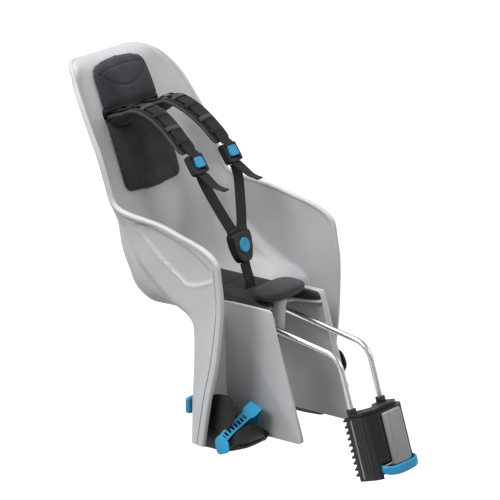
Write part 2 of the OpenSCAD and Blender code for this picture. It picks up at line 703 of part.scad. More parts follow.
module clamp_bolts() {
    color(steel_col) at_tube() for (a = [-1, 1], b = [-1, 1]) {
        translate([0, a * clamp_bolt_y, b * (clamp_l / 2 - 18)]) rotate([0, 90, 0]) {
            translate([0, 0, -18]) cylinder(d = bolt_d, h = 40);
            translate([0, 0, -20]) cylinder(d = 10, h = 5.8);
        }
    }
}

module bracket_cover() {
    color("#8f9092") at_tube() {
        translate([0, 0, -clamp_l / 2 + 32]) linear_extrude(clamp_l - 34)
            polygon([[clamp_front - 6 + seat, -half_w + 20.6], [clamp_front, -half_w + 23], [clamp_front + 3, -half_w + 32],
                [clamp_front + 3, half_w - 32], [clamp_front, half_w - 23], [clamp_front - 6 + seat, half_w - 20.6]]);
    }
}

module release_lever() {
    color(blue_col) at_tube() translate([lever_x, 0, lever_z]) difference() {
        union() {
            rotate([90, 0, 0]) cylinder(r = 7, h = lever_w, center = true);
            side_plate(-lever_w / 2, lever_w / 2) polygon([[0, 7], [clamp_front - lever_x - 4, 6],
                [clamp_front - lever_x + 6, -2], [clamp_front - lever_x + 5, -14], [clamp_front - lever_x - 3, -16],
                [8, -7], [0, -7]]);
        }
        rotate([90, 0, 0]) cylinder(d = 4.1, h = 2 * lever_w, center = true);
        translate([12, -lever_w / 2 + 14, -40]) cube([60, lever_w - 28, 36]);
    }
}

module lever_pin() {
    color(steel_col) at_tube() translate([lever_x, 0, lever_z]) rotate([90, 0, 0]) cylinder(d = 4, h = clamp_w - 1, center = true);
}

seat_shell();
head_pad();
back_pad();
seat_pad();
pommel_pad();
shoulder_sleeve(1);  // shoulder_sleeve_left
shoulder_sleeve(-1);  // shoulder_sleeve_right
shoulder_strap(1);  // shoulder_strap_left
shoulder_strap(-1);  // shoulder_strap_right
strap_anchor(1);  // strap_anchor_left
strap_anchor(-1);  // strap_anchor_right
adjuster(1);  // adjuster_left
adjuster(-1);  // adjuster_right
adjuster_button(1);  // adjuster_button_left
adjuster_button(-1);  // adjuster_button_right
harness_strap(1);  // harness_strap_left
harness_strap(-1);  // harness_strap_right
buckle_body();
buckle_button();
crotch_strap();
crotch_anchor();
footrest(1);  // footrest_left
footrest(-1);  // footrest_right
foot_strap(1);  // foot_strap_left
foot_strap(-1);  // foot_strap_right
footrest_release(1);  // footrest_release_left
footrest_release(-1);  // footrest_release_right
carrier_block();
carrier_plate();
carrier_bolts();
carrier_bar();
bracket_body();
bracket_rear_jaw();
liner(1);  // liner_front
liner(-1);  // liner_rear
clamp_bolts();
bracket_cover();
release_lever();
lever_pin();
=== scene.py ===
import json
import math
import bpy
import bmesh
from mathutils import Matrix, Vector

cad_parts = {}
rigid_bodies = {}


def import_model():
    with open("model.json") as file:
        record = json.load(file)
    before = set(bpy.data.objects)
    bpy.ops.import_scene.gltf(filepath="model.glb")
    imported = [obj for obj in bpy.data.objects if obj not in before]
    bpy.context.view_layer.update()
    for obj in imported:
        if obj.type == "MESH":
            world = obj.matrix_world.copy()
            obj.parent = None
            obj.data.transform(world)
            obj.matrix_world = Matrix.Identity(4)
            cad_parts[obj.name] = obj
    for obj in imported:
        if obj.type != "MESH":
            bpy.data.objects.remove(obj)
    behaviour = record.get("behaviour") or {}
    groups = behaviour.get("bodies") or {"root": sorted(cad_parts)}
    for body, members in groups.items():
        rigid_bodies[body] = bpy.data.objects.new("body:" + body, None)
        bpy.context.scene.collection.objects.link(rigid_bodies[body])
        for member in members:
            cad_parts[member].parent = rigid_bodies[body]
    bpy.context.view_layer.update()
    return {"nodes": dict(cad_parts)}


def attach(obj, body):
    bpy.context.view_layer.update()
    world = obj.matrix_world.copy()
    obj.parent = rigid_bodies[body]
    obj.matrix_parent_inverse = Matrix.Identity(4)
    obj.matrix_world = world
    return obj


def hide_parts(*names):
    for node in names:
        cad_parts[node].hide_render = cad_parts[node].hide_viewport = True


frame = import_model()
nodes = frame["nodes"]
mm = 0.001
print("frame loaded")

# camera, lights and floor

cameraLook = {
    "place": (3.55765, -4.68018, 2.17909),
    "middle": (-0.262, 0.0, 0.298),   # what it looks at, near the middle of the seat
    "lens": 262.0,
    "roll": -0.98,
}


def placeCamera(look):
    data = bpy.data.cameras.new("viewCamera")
    camera = bpy.data.objects.new("viewCamera", data)
    bpy.context.scene.collection.objects.link(camera)
    place = Vector(look["place"])
    forward = (Vector(look["middle"]) - place).normalized()
    right = forward.cross(Vector((0, 0, 1))).normalized()
    up = right.cross(forward)
    a = math.radians(look["roll"])
    right, up = right * math.cos(a) + up * math.sin(a), up * math.cos(a) - right * math.sin(a)
    camera.matrix_world = Matrix.Translation(place) @ Matrix((right, up, -forward)).transposed().to_4x4()
    data.lens = look["lens"]
    data.sensor_width = 36
    data.clip_end = 60
    bpy.context.scene.camera = camera


placeCamera(cameraLook)

studio = {
    "exposure": 0.14,
    "gamma": 0.87,
    "floorZ": -0.42,
    "floorHex": "#f7f7f5",
    # light from all round: bright above, dim below, so that undersides stay in shade
    "sky": [(0.0, 0.06), (0.42, 0.12), (0.56, 0.44), (1.0, 0.66)],
    "suns": [
        # name, comes from, strength, spread in degrees
        ("topSoftLight", (-0.35, -0.2, 1.0), 1.25, 40),
        ("sideSoftLight", (-0.1, -0.75, 0.62), 1.2, 24),
        ("frontFill", (0.75, 0.6, 0.5), 0.55, 50),
    ],
    "lamps": [
        # name, place, size, power: long reflections on the rods and on satin plastic
        ("leftStrip", (-1.6, -2.4, 1.6), 0.7, 9),
        ("rightStrip", (2.2, -0.4, 1.8), 0.6, 10),
    ],
}


def toLinear(hexText):
    values = [int(hexText[i:i + 2], 16) / 255 for i in (1, 3, 5)]
    return tuple(v / 12.92 if v <= 0.04045 else ((v + 0.055) / 1.055) ** 2.4 for v in values) + (1.0,)


# Sockets are linked to a node's inputs, other values are set on them
def feed(node, inputs):
    for name, value in inputs.items():
        if isinstance(value, bpy.types.NodeSocket):
            node.id_data.links.new(value, node.inputs[name])
        else:
            node.inputs[name].default_value = value


# One node with its settings and the sockets that feed it
def addNode(tree, kind, settings=None, inputs=None):
    node = tree.nodes.new(kind)
    for name, value in (settings or {}).items():
        setattr(node, name, value)
    feed(node, inputs or {})
    return node


# Stops of a colour ramp, given as position and colour
def setStops(node, stops):
    ramp = node.color_ramp
    while len(ramp.elements) < len(stops):
        ramp.elements.new(0.5)
    for stop, (position, colour) in zip(ramp.elements, stops):
        stop.position = position
        stop.color = colour
    return node.outputs["Color"]


def freshMaterial(name):
    material = bpy.data.materials.new(name)
    material.use_nodes = True
    tree = material.node_tree
    tree.nodes.clear()
    shader = addNode(tree, "ShaderNodeBsdfPrincipled")
    addNode(tree, "ShaderNodeOutputMaterial", inputs={"Surface": shader.outputs["BSDF"]})
    place = addNode(tree, "ShaderNodeTexCoord").outputs["Object"]
    return material, tree, shader, place


def linkLamp(name, data, place, aim):
    lamp = bpy.data.objects.new(name, data)
    lamp.location = place
    lamp.rotation_euler = (Vector(aim) - Vector(place)).to_track_quat("-Z", "Y").to_euler()
    bpy.context.scene.collection.objects.link(lamp)


def setUpStudio(look):
    middle = (-0.3, 0, 0.3)
    for name, place, size, power in look["lamps"]:
        data = bpy.data.lights.new(name, "AREA")
        data.shape = "DISK"
        data.size = size
        data.energy = power
        linkLamp(name, data, place, middle)
    for name, side, strength, spread in look["suns"]:
        data = bpy.data.lights.new(name, "SUN")
        data.energy = strength
        data.angle = math.radians(spread)
        linkLamp(name, data, Vector(middle) + Vector(side), middle)
    world = bpy.data.worlds.new("paleStudio")
    world.use_nodes = True
    tree = world.node_tree
    direction = addNode(tree, "ShaderNodeTexCoord").outputs["Generated"]
    height = addNode(tree, "ShaderNodeSeparateXYZ", inputs={"Vector": direction})
    level = addNode(tree, "ShaderNodeMapRange",
                    inputs={"Value": height.outputs["Z"], "From Min": -1.0, "From Max": 1.0})
    ramp = addNode(tree, "ShaderNodeValToRGB", inputs={"Fac": level.outputs["Result"]})
    sky = setStops(ramp, [(position, (bright, bright, bright, 1.0)) for position, bright in look["sky"]])
    feed(tree.nodes["Background"], {"Color": sky})
    bpy.context.scene.world = world
    view = bpy.context.scene.view_settings
    view.view_transform = "Standard"
    view.exposure = look["exposure"]
    view.gamma = look["gamma"]
    bpy.ops.mesh.primitive_grid_add(x_subdivisions=2, y_subdivisions=2, size=60, location=(0, 0, look["floorZ"]))
    floor = bpy.context.object
    floor.name = "paleFloor"
    floor.visible_diffuse = False
    material, tree, shader, place = freshMaterial("paleFloorPaint")
    feed(shader, {"Base Color": toLinear(look["floorHex"]), "Roughness": 0.9})
    floor.data.materials.append(material)


setUpStudio(studio)
print("camera and studio set")

# materials


# Polypropylene, injection moulded with a fine spark texture: soft sheen, faint mottling, no sharp glints
def mouldedShellPlastic():
    material, tree, shader, place = freshMaterial("polypropyleneLightGrey")
    cloud = addNode(tree, "ShaderNodeTexNoise", inputs={"Vector": place, "Scale": 9.0, "Detail": 3.0, "Roughness": 0.5})
    tone = addNode(tree, "ShaderNodeValToRGB", inputs={"Fac": cloud.outputs["Fac"]})
    # spark texture about 0.5 mm wide, drawn at 0.9 mm so that it shows
    spark = addNode(tree, "ShaderNodeTexNoise",
                    inputs={"Vector": place, "Scale": 1 / (0.9 * mm), "Detail": 2.0, "Roughness": 0.6})
    wear = addNode(tree, "ShaderNodeTexNoise", inputs={"Vector": place, "Scale": 34.0, "Detail": 4.0})
    rough = addNode(tree, "ShaderNodeMapRange", inputs={"Value": wear.outputs["Fac"], "To Min": 0.42, "To Max": 0.56})
    bump = addNode(tree, "ShaderNodeBump",
                   inputs={"Height": spark.outputs["Fac"], "Strength": 0.16, "Distance": 0.15 * mm})
    feed(shader, {"Base Color": setStops(tone, [(0.3, toLinear("#c1c2c4")), (0.72, toLinear("#cacbcd"))]),
                  "Roughness": rough.outputs["Result"], "Normal": bump.outputs["Normal"], "IOR": 1.49})
    return material


# Polyester knit over foam: dark heather grey, tiny diagonal ribs and a dusty sheen at grazing angles
def knitCover(name, darkHex, lightHex, ribMm):
    material, tree, shader, place = freshMaterial(name)
    heather = addNode(tree, "ShaderNodeTexNoise",
                      inputs={"Vector": place, "Scale": 1 / (2.2 * mm), "Detail": 4.0, "Roughness": 0.7})
    broad = addNode(tree, "ShaderNodeTexNoise", inputs={"Vector": place, "Scale": 16.0, "Detail": 2.0})
    both = addNode(tree, "ShaderNodeMath", {"operation": "MULTIPLY"},
                   {0: heather.outputs["Fac"], 1: broad.outputs["Fac"]})
    tone = addNode(tree, "ShaderNodeValToRGB", inputs={"Fac": both.outputs["Value"]})
    # knit ribs about 1 mm apart, drawn a little coarser so that they show
    ribA, ribB = [addNode(tree, "ShaderNodeTexWave", {"wave_type": "BANDS", "bands_direction": direction},
                          {"Vector": place, "Scale": 0.314 / (ribMm * mm), "Distortion": 1.2, "Detail": 1.0})
                  for direction in ("DIAGONAL", "Y")]
    ribs = addNode(tree, "ShaderNodeMath", {"operation": "MULTIPLY"}, {0: ribA.outputs["Fac"], 1: ribB.outputs["Fac"]})
    bump = addNode(tree, "ShaderNodeBump",
                   inputs={"Height": ribs.outputs["Value"], "Strength": 0.5, "Distance": 0.35 * mm})
    feed(shader, {"Base Color": setStops(tone, [(0.12, toLinear(darkHex)), (0.42, toLinear(lightHex))]),
                  "Normal": bump.outputs["Normal"], "Roughness": 0.86, "Sheen Weight": 0.12, "Sheen Roughness": 0.5})
    return material


# Polyester webbing, plain woven: black with rows of weft that catch a little light
def wovenWebbing(name, darkHex, lightHex):
    material, tree, shader, place = freshMaterial(name)
    # weft rows about 1.4 mm apart
    rows = addNode(tree, "ShaderNodeTexWave", {"wave_type": "BANDS", "bands_direction": "Z"},
                   {"Vector": place, "Scale": 0.314 / (1.4 * mm), "Distortion": 0.6, "Detail": 1.0})
    warp = addNode(tree, "ShaderNodeTexWave", {"wave_type": "BANDS", "bands_direction": "Y"},
                   {"Vector": place, "Scale": 0.314 / (1.6 * mm), "Distortion": 0.3})
    weave = addNode(tree, "ShaderNodeMath", {"operation": "MULTIPLY"}, {0: rows.outputs["Fac"], 1: warp.outputs["Fac"]})
    tone = addNode(tree, "ShaderNodeValToRGB", inputs={"Fac": weave.outputs["Value"]})
    bump = addNode(tree, "ShaderNodeBump",
                   inputs={"Height": weave.outputs["Value"], "Strength": 0.6, "Distance": 0.3 * mm})
    feed(shader, {"Base Color": setStops(tone, [(0.0, toLinear(darkHex)), (1.0, toLinear(lightHex))]),
                  "Normal": bump.outputs["Normal"], "Roughness": 0.72, "Sheen Weight": 0.08})
    return material


# Hard plastic, moulded: one colour, fine grain in the gloss, soft highlights along edges
def mouldedPlastic(name, colourHex, roughLow, roughHigh, grainMm, depthMm):
    material, tree, shader, place = freshMaterial(name)
    grain = addNode(tree, "ShaderNodeTexNoise", inputs={"Vector": place, "Scale": 1 / (grainMm * mm), "Detail": 2.0})
    cloud = addNode(tree, "ShaderNodeTexNoise", inputs={"Vector": place, "Scale": 60.0, "Detail": 3.0})
    tone = addNode(tree, "ShaderNodeMix", {"data_type": "RGBA", "blend_type": "MULTIPLY"},
                   {"Factor": 0.18, 6: toLinear(colourHex), 7: cloud.outputs["Color"]})
    rough = addNode(tree, "ShaderNodeMapRange",
                    inputs={"Value": cloud.outputs["Fac"], "To Min": roughLow, "To Max": roughHigh})
    bump = addNode(tree, "ShaderNodeBump",
                   inputs={"Height": grain.outputs["Fac"], "Strength": 0.2, "Distance": depthMm * mm})
    feed(shader, {"Base Color": tone.outputs[2], "Roughness": rough.outputs["Result"],
                  "Normal": bump.outputs["Normal"], "IOR": 1.5})
    return material


# Steel, coated or plated: clear metal reflections broken by fine streaks and small wear
def coatedSteel(name, colourHex, roughLow, roughHigh):
    material, tree, shader, place = freshMaterial(name)
    streak = addNode(tree, "ShaderNodeMapping", {"vector_type": "POINT"},
                     {"Vector": place, "Scale": (40.0, 900.0, 900.0)})
    fine = addNode(tree, "ShaderNodeTexNoise", inputs={"Vector": streak.outputs["Vector"], "Scale": 1.0, "Detail": 3.0})
    rough = addNode(tree, "ShaderNodeMapRange",
                    inputs={"Value": fine.outputs["Fac"], "To Min": roughLow, "To Max": roughHigh})
    tone = addNode(tree, "ShaderNodeMix", {"data_type": "RGBA", "blend_type": "MULTIPLY"},
                   {"Factor": 0.12, 6: toLinear(colourHex), 7: fine.outputs["Color"]})
    bump = addNode(tree, "ShaderNodeBump",
                   inputs={"Height": fine.outputs["Fac"], "Strength": 0.12, "Distance": 0.05 * mm})
    feed(shader, {"Base Color": tone.outputs[2], "Roughness": rough.outputs["Result"],
                  "Normal": bump.outputs["Normal"], "Metallic": 1.0})
    return material


shellPlastic = mouldedShellPlastic()
padKnit = knitCover("polyesterKnitCharcoal", "#303033", "#505055", 1.5)
headKnit = knitCover("polyesterKnitPlumGrey", "#312e34", "#4e4a52", 1.5)
sleeveKnit = knitCover("polyesterMeshBlack", "#0d0d0f", "#1e1e21", 1.8)
webbing = wovenWebbing("polyesterWebbingBlack", "#0e0e10", "#232326")
# grey webbing for the bound edges of the shoulder pads, also a painted highlight on two black keeper loops
greyBindingAndPaintedHighlight = wovenWebbing("polyesterGreyBindingAndPaintedHighlight", "#3c3c40", "#5c5c61")
# the seat pad's knit is a darker copy of the charcoal pad knit: painted shade for the seat deep in the bucket under the
# front cushion
seatKnitPaintedShade = knitCover("polyesterKnitCharcoalPaintedShade", "#1d1d20", "#343438", 1.5)
blackNylon = mouldedPlastic("nylonBlackSatin", "#121214", 0.34, 0.46, 0.8, 0.1)
blackSole = mouldedPlastic("nylonBlackMatt", "#0f0f11", 0.46, 0.58, 1.2, 0.2)
blueAcetal = mouldedPlastic("acetalBlue", "#2f9ec9", 0.3, 0.4, 0.7, 0.08)
blueSilicone = mouldedPlastic("siliconeBlueMatt", "#2f9ec9", 0.55, 0.68, 0.9, 0.12)
greyNylon = mouldedPlastic("nylonGreySatin", "#98999c", 0.36, 0.46, 0.8, 0.08)
linerRubber = mouldedPlastic("rubberBlack", "#161617", 0.7, 0.82, 1.4, 0.2)
rodSteel = coatedSteel("steelRodSilver", "#c9cbce", 0.2, 0.34)
boltSteel = coatedSteel("steelZincPlated", "#b4b6b8", 0.26, 0.4)

finishes = {
    "seat_shell": shellPlastic, "buckle_body": blackNylon, "buckle_button": blueAcetal, "crotch_anchor": blackNylon,
    "carrier_block": blackNylon, "carrier_plate": blackNylon, "carrier_bolts": boltSteel, "carrier_bar": rodSteel,
    "bracket_body": blackNylon, "bracket_rear_jaw": blackNylon, "bracket_cover": greyNylon,
    "liner_front": linerRubber, "liner_rear": linerRubber, "clamp_bolts": boltSteel, "lever_pin": boltSteel,
    "release_lever": blueAcetal, "head_pad": headKnit, "back_pad": padKnit, "seat_pad": seatKnitPaintedShade,
    "pommel_pad": padKnit, "crotch_strap": webbing,
}
# nodes that come as a left and a right one
both = {
    "strap_anchor": blackNylon, "adjuster": blackNylon, "adjuster_button": blueAcetal, "footrest": blackSole,
    "foot_strap": blueSilicone, "footrest_release": blueAcetal, "shoulder_sleeve": sleeveKnit,
    "shoulder_strap": webbing, "harness_strap": webbing,
}
finishes.update({name + end: finish for name, finish in both.items() for end in ("_left", "_right")})
for name, finish in finishes.items():
    nodes[name].data.materials.clear()
    nodes[name].data.materials.append(finish)
print("materials made and assigned")

sides = (("Left", 1), ("Right", -1))

# small makers of meshes


def shadeSmooth(mesh, angle):
    mesh.polygons.foreach_set("use_smooth", [True] * len(mesh.polygons))
    mesh.set_sharp_from_angle(angle=math.radians(angle))


def newPiece(name, points, faces, material, body, smoothAngle=40):
    mesh = bpy.data.meshes.new(name)
    mesh.from_pydata([tuple(v * mm for v in p) for p in points], [], faces)
    mesh.validate()
    tidy = bmesh.new()
    tidy.from_mesh(mesh)
    bmesh.ops.remove_doubles(tidy, verts=tidy.verts, dist=0.01 * mm)
    bmesh.ops.recalc_face_normals(tidy, faces=tidy.faces)
    tidy.to_mesh(mesh)
    tidy.free()
    shadeSmooth(mesh, smoothAngle)
    mesh.materials.append(material)
    piece = bpy.data.objects.new(name, mesh)
    bpy.context.scene.collection.objects.link(piece)
    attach(piece, body)
    return piece


def applyModifiers(piece):
    depsgraph = bpy.context.evaluated_depsgraph_get()
    mesh = bpy.data.meshes.new_from_object(piece.evaluated_get(depsgraph))
    old = piece.data
    piece.modifiers.clear()
    piece.data = mesh
    bpy.data.meshes.remove(old)
    shadeSmooth(mesh, 42)


def roundEdges(piece, width, segments=2, angle=35):
    bevel = piece.modifiers.new("softEdges", "BEVEL")
    bevel.width = width * mm
    bevel.segments = segments
    bevel.limit_method = "ANGLE"
    bevel.angle_limit = math.radians(angle)
    bevel.harden_normals = False


# Rings of points joined to a closed form
def loft(name, rings, material, body="seat", smoothAngle=50):
    m = len(rings[0])
    points = [p for r in rings for p in r]
    faces = [(i * m + k, i * m + (k + 1) % m, (i + 1) * m + (k + 1) % m, (i + 1) * m + k)
             for i in range(len(rings) - 1) for k in range(m)]
    faces += [tuple(range(m))[::-1], tuple((len(rings) - 1) * m + k for k in range(m))]
    return newPiece(name, points, faces, material, body, smoothAngle)


def gridNormals(grid):
    rows, cols = len(grid), len(grid[0])
    out = []
    for i in range(rows):
        line = []
        for j in range(cols):
            u = grid[min(i + 1, rows - 1)][j] - grid[max(i - 1, 0)][j]
            v = grid[i][min(j + 1, cols - 1)] - grid[i][max(j - 1, 0)]
            line.append(u.cross(v).normalized())
        out.append(line)
    return out


# A sheet between two grids of points, closed along its border and round the cells that aren't kept
def thickSheet(front, back, keep):
    rows, cols = len(front), len(front[0])
    points = [p for line in front for p in line] + [p for line in back for p in line]
    o = rows * cols
    faces = []

    def kept(i, j):
        return 0 <= i < rows - 1 and 0 <= j < cols - 1 and keep(i, j)

    for i in range(rows - 1):
        for j in range(cols - 1):
            if not kept(i, j):
                continue
            a = i * cols + j
            b, d, e = a + 1, a + cols, a + cols + 1
            faces += [(a, b, e, d), (o + d, o + e, o + b, o + a)]
            if not kept(i - 1, j): faces.append((b, a, o + a, o + b))
            if not kept(i + 1, j): faces.append((d, e, o + e, o + d))
            if not kept(i, j - 1): faces.append((a, d, o + d, o + a))
            if not kept(i, j + 1): faces.append((e, b, o + b, o + e))
    return points, faces


def mix(a, b, t):
    return a + (b - a) * t


def smoothStep(t):
    t = min(1.0, max(0.0, t))
    return t * t * (3 - 2 * t)


def splinePoint(points, i, t):
    n = len(points) - 1
    a, b, c, d = (points[max(i - 1, 0)], points[i], points[min(i + 1, n)], points[min(i + 2, n)])
    return 0.5 * (2 * b + (c - a) * t + (2 * a - 5 * b + 4 * c - d) * t * t + (3 * b - a - 3 * c + d) * t ** 3)


def smoothLine(points, steps):
    points = [Vector(p) for p in points]
    line = [splinePoint(points, i, k / steps) for i in range(len(points) - 1) for k in range(steps)]
    return line + [points[-1]]


# Direction of a line at one of its points
def along(line, i):
    return line[min(i + 1, len(line) - 1)] - line[max(i - 1, 0)]


# A grid or a list of rings on the other side of the middle plane
def mirrored(rows):
    return [[Vector((q.x, -q.y, q.z)) for q in r] for r in rows]


def centreOf(outline):
    return tuple(sum(p[k] for p in outline) / len(outline) for k in (0, 1))


# An outline moved in towards a centre by a distance
def drawnIn(outline, centre, inset):
    cx, cy = centre
    ring = []
    for x, y in outline:
        r = math.hypot(x - cx, y - cy)
        f = max(0.02, (r - inset) / r) if r else 1
        ring.append((cx + (x - cx) * f, cy + (y - cy) * f))
    return ring


# A sine or cosine bent towards a square corner
def squarish(value, power):
    return math.copysign(abs(value) ** power, value)


def shift(x, y, z):
    return Matrix.Translation((x, y, z))


def turn(degrees, axis):
    return Matrix.Rotation(math.radians(degrees), 4, axis)


# Signed distance from a point to a closed outline in two dimensions, negative inside
def outlineDistance(x, z, outline):
    best, inside = 1e9, False
    for k in range(len(outline)):
        ax, az = outline[k]
        bx, bz = outline[(k + 1) % len(outline)]
        dx, dz = bx - ax, bz - az
        t = max(0.0, min(1.0, ((x - ax) * dx + (z - az) * dz) / max(dx * dx + dz * dz, 1e-9)))
        best = min(best, math.hypot(x - ax - t * dx, z - az - t * dz))
        if (az > z) != (bz > z) and x < (bx - ax) * (z - az) / (bz - az) + ax:
            inside = not inside
    return -best if inside else best


# seat shell

shellLook = {
    "wall": 4.0,
    # profiles: distance from the edge and height over the wall
    "lipProfile": [(0, 1.8), (0.9, 3.8), (2.4, 4.6), (8.6, 4.4), (9.8, 3.4), (10.8, 0.2), (11.8, -1.0), (13.2, -0.9),
                   (15.0, 0.0)],
    # on the leg guards a groove runs behind the lip
    "legProfile": [(0, 1.8), (0.9, 3.4), (2.4, 4.0), (12.0, 3.8), (13.2, -2.0), (14.6, -2.0), (15.6, 1.8), (22, 1.2),
                   (34, 0.0)],
    "innerLip": [(0, 0.2), (0.9, 1.0), (2.4, 1.5), (7.2, 1.4), (8.6, 0.0)],
    "lipSpots": (22.0, 17.0, 15.6, 14.6, 13.2, 12.0, 10.8, 9.8, 8.6, 5.6, 2.4, 0.9),
    "panelDepth": 2.8,
    "panelSoft": 4.0,     # width of the soft edge round the sunken panel
    # edge on each side below which the bucket turns under
    "turnUnder": {"line": [(24, 185), (31, 154), (45, 114), (53, 94), (74, 74), (103, 52), (140, 29), (178, 16)],
                  "slope": 0.55, "most": 9.0,
                  "fadeZ": (130, 55), "fadeX": (184, 26)},
    "panZ": 208.0,
    "lumbarX": -446.0,
}
shellSections = [
    ((-151, 398), (-151, 60, 398), (-154, 68, 398)),
    ((-133, 397), (-135, 88, 396), (-140, 97, 394)),
    ((-116, 384), (-113, 105, 384), (-110, 119, 380)),
    ((-101, 352), (-92, 118, 350), (-78, 134, 348)),
    ((-81, 302), (-66, 126, 302), (-48, 143, 302)),
    ((-62, 252), (-44, 130, 254), (-22, 148, 258)),
    ((-44, 202), (-26, 132, 206), (-4, 150, 212)),
    ((-27, 152), (-10, 133, 150), (10, 150, 180)),
    ((-13, 104), (4, 137, 108), (40, 149, 169)),
    ((-3, 60), (26, 142, 88), (106, 149, 162)),
    ((12, 22), (58, 146, 70), (161, 152, 150)),
    ((46, 0), (94, 148, 53), (211, 155, 137)),
    ((92, 0), (128, 151, 34), (242, 157, 118)),
    ((138, 0), (160, 154, 16), (250, 158, 88)),
    ((184, 0), (188, 157, 0), (255, 160, 34)),
    ((188, -60), (195, 163, -60), (247, 166, -60)),
    ((188, -130), (196, 170, -130), (234, 172, -130)),
    ((188, -212), (197, 176, -212), (222, 177, -212)),
]
panelOutline = [(54, 152), (64, 154), (102, 149), (139, 141), (170, 131), (193, 122), (229, 101), (234, 93), (231, 84),
                (215, 77), (190, 68), (170, 67), (146, 81), (112, 102), (73, 130), (56, 146)]
legRow = 14


# A place given from the lumbar corner and the pan's top, in the part's millimetres
def inPart(x, y, z):
    return Vector((shellLook["lumbarX"] + x, y, shellLook["panZ"] + z))


def shellPoints(steps):
    def curve(k):
        pts = []
        for row in shellSections:
            p = row[k]
            pts.append(Vector((p[0], 0, p[1])) if len(p) == 2 else Vector(p))
        return [splinePoint(pts, i, t / steps) for i in range(len(pts) - 1) for t in range(steps)] + [pts[-1]]

    centre, crease, rim = curve(0), curve(1), curve(2)
    flatN, bendN, sideN = 8, 20, 38
    lipSpots = shellLook["lipSpots"]
    grid = []
    for i, (c, k, e) in enumerate(zip(centre, crease, rim)):
        leg = i >= legRow * steps
        f = Vector((c.x, 72.0 if leg else min(72.0, k.y - 6), c.z))
        reach = mix(0.4, 0.08, min(1.0, max(0.0, (i / steps - legRow + 3) / 3)))
        g = (k - f).length
        a = f + Vector((0, g * 0.55, 0))
        b = k - (e - k).normalized() * g * reach
        half = [Vector((f.x, f.y * j / flatN, f.z)) for j in range(flatN)]
        for j in range(bendN):
            t = j / bendN
            half.append(f * (1 - t) ** 3 + a * 3 * t * (1 - t) ** 2 + b * 3 * t * t * (1 - t) + k * t ** 3)
        length = (e - k).length
        u = min(lipSpots[0], length * 0.8) / length
        plain = sideN - len(lipSpots)
        spots = [(1 - u) * j / plain for j in range(plain)] + [1 - u * s / lipSpots[0] for s in lipSpots]
        spots.append(1.0)
        half += [mix(k, e, t) for t in spots]
        full = [Vector((p.x, -p.y, p.z)) for p in reversed(half[1:])] + half
        grid.append([inPart(*p) for p in full])
    return grid, flatN, bendN, sideN


# How far a face stands out, by the distance from the rim: rounded edge, flat lip, step, fine groove
def lipHeight(distance, which):
    profile = shellLook[which]
    for (d0, h0), (d1, h1) in zip(profile, profile[1:]):
        if d0 <= distance <= d1:
            return mix(h0, h1, (distance - d0) / (d1 - d0))
    return 0.0


def makeShell():
    steps = 12
    grid, flatN, bendN, sideN = shellPoints(steps)
    halfN = flatN + bendN + sideN
    normals = gridNormals(grid)
    front, back = [], []
    for i, line in enumerate(grid):
        face, row = [], []
        for j, p in enumerate(line):
            side = abs(j - halfN)
            rim = line[0] if j < halfN else line[-1]
            n = normals[i][j]
            x, z = p.x - shellLook["lumbarX"], p.z - shellLook["panZ"]
            edge = min((p - rim).length if side > flatN + bendN else 99.0, (p - grid[0][j]).length)
            # below this line the bucket turns under
            under = shellLook["turnUnder"]
            if i < legRow * steps and side > flatN:
                low = max(0.0, belowLine(x, z, under["line"])) * under["slope"]
                (startZ, softZ), (endX, softX) = under["fadeZ"], under["fadeX"]
                fade = (1 - smoothStep((z - startZ) / softZ)) * smoothStep((endX - x) / softX)
                fade *= smoothStep((side - flatN - 3) / 8)
                p = p + n * min(under["most"], low) * fade
            legShare = smoothStep((i / steps - 11.6) / 1.6)
            lip = mix(lipHeight(edge, "lipProfile"), lipHeight(edge, "legProfile"), legShare)
            q = p - n * (shellLook["wall"] + lip)
            face.append(p + n * lipHeight(edge, "innerLip"))
            if side > flatN + bendN - 6:
                d = outlineDistance(x, z, panelOutline)
                q = q + n * shellLook["panelDepth"] * smoothStep(0.5 - d / shellLook["panelSoft"])
                # a raised bead follows the panel's edge
                q = q - n * 1.1 * max(0.0, 1 - abs(d - 3.4) / 2.8)
            row.append(q)
        front.append(face)
        back.append(row)

    def keep(i, j):
        return i < legRow * steps or abs(j + 0.5 - halfN) > flatN

    points, faces = thickSheet(front, back, keep)
    shell = newPiece("seatShell", points, faces, shellPlastic, "seat", 46)
    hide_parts("seat_shell")
    return shell


# Distance below an open line in x and z, positive on its lower and rear side
def belowLine(x, z, line):
    best = None
    for (ax, az), (bx, bz) in zip(line, line[1:]):
        dx, dz = bx - ax, bz - az
        size = math.hypot(dx, dz)
        t = ((x - ax) * dx + (z - az) * dz) / size ** 2
        cut = max(0.0, min(1.0, t))
        away = math.hypot(x - ax - cut * dx, z - az - cut * dz)
        side = (dz * (x - ax) - dx * (z - az)) / size
        if best is None or away < abs(best):
            best = away if side > 0 else -away
    return best


def slab(name, outline, low, high, axis):
    n = len(outline)

    def spot(a, b, c):
        return (a, c, b) if axis == "Y" else (a, b, c)

    points = [spot(a, b, low) for a, b in outline] + [spot(a, b, high) for a, b in outline]
    faces = [tuple(range(n))[::-1], tuple(range(n, 2 * n))]
    faces += [(k, (k + 1) % n, n + (k + 1) % n, n + k) for k in range(n)]
    return newPiece(name, points, faces, shellPlastic, "seat", 30)


def arc(cx, cz, r, a0, a1, n):
    return [(cx + r * math.cos(math.radians(mix(a0, a1, k / n))), cz + r * math.sin(math.radians(mix(a0, a1, k / n))))
            for k in range(n + 1)]


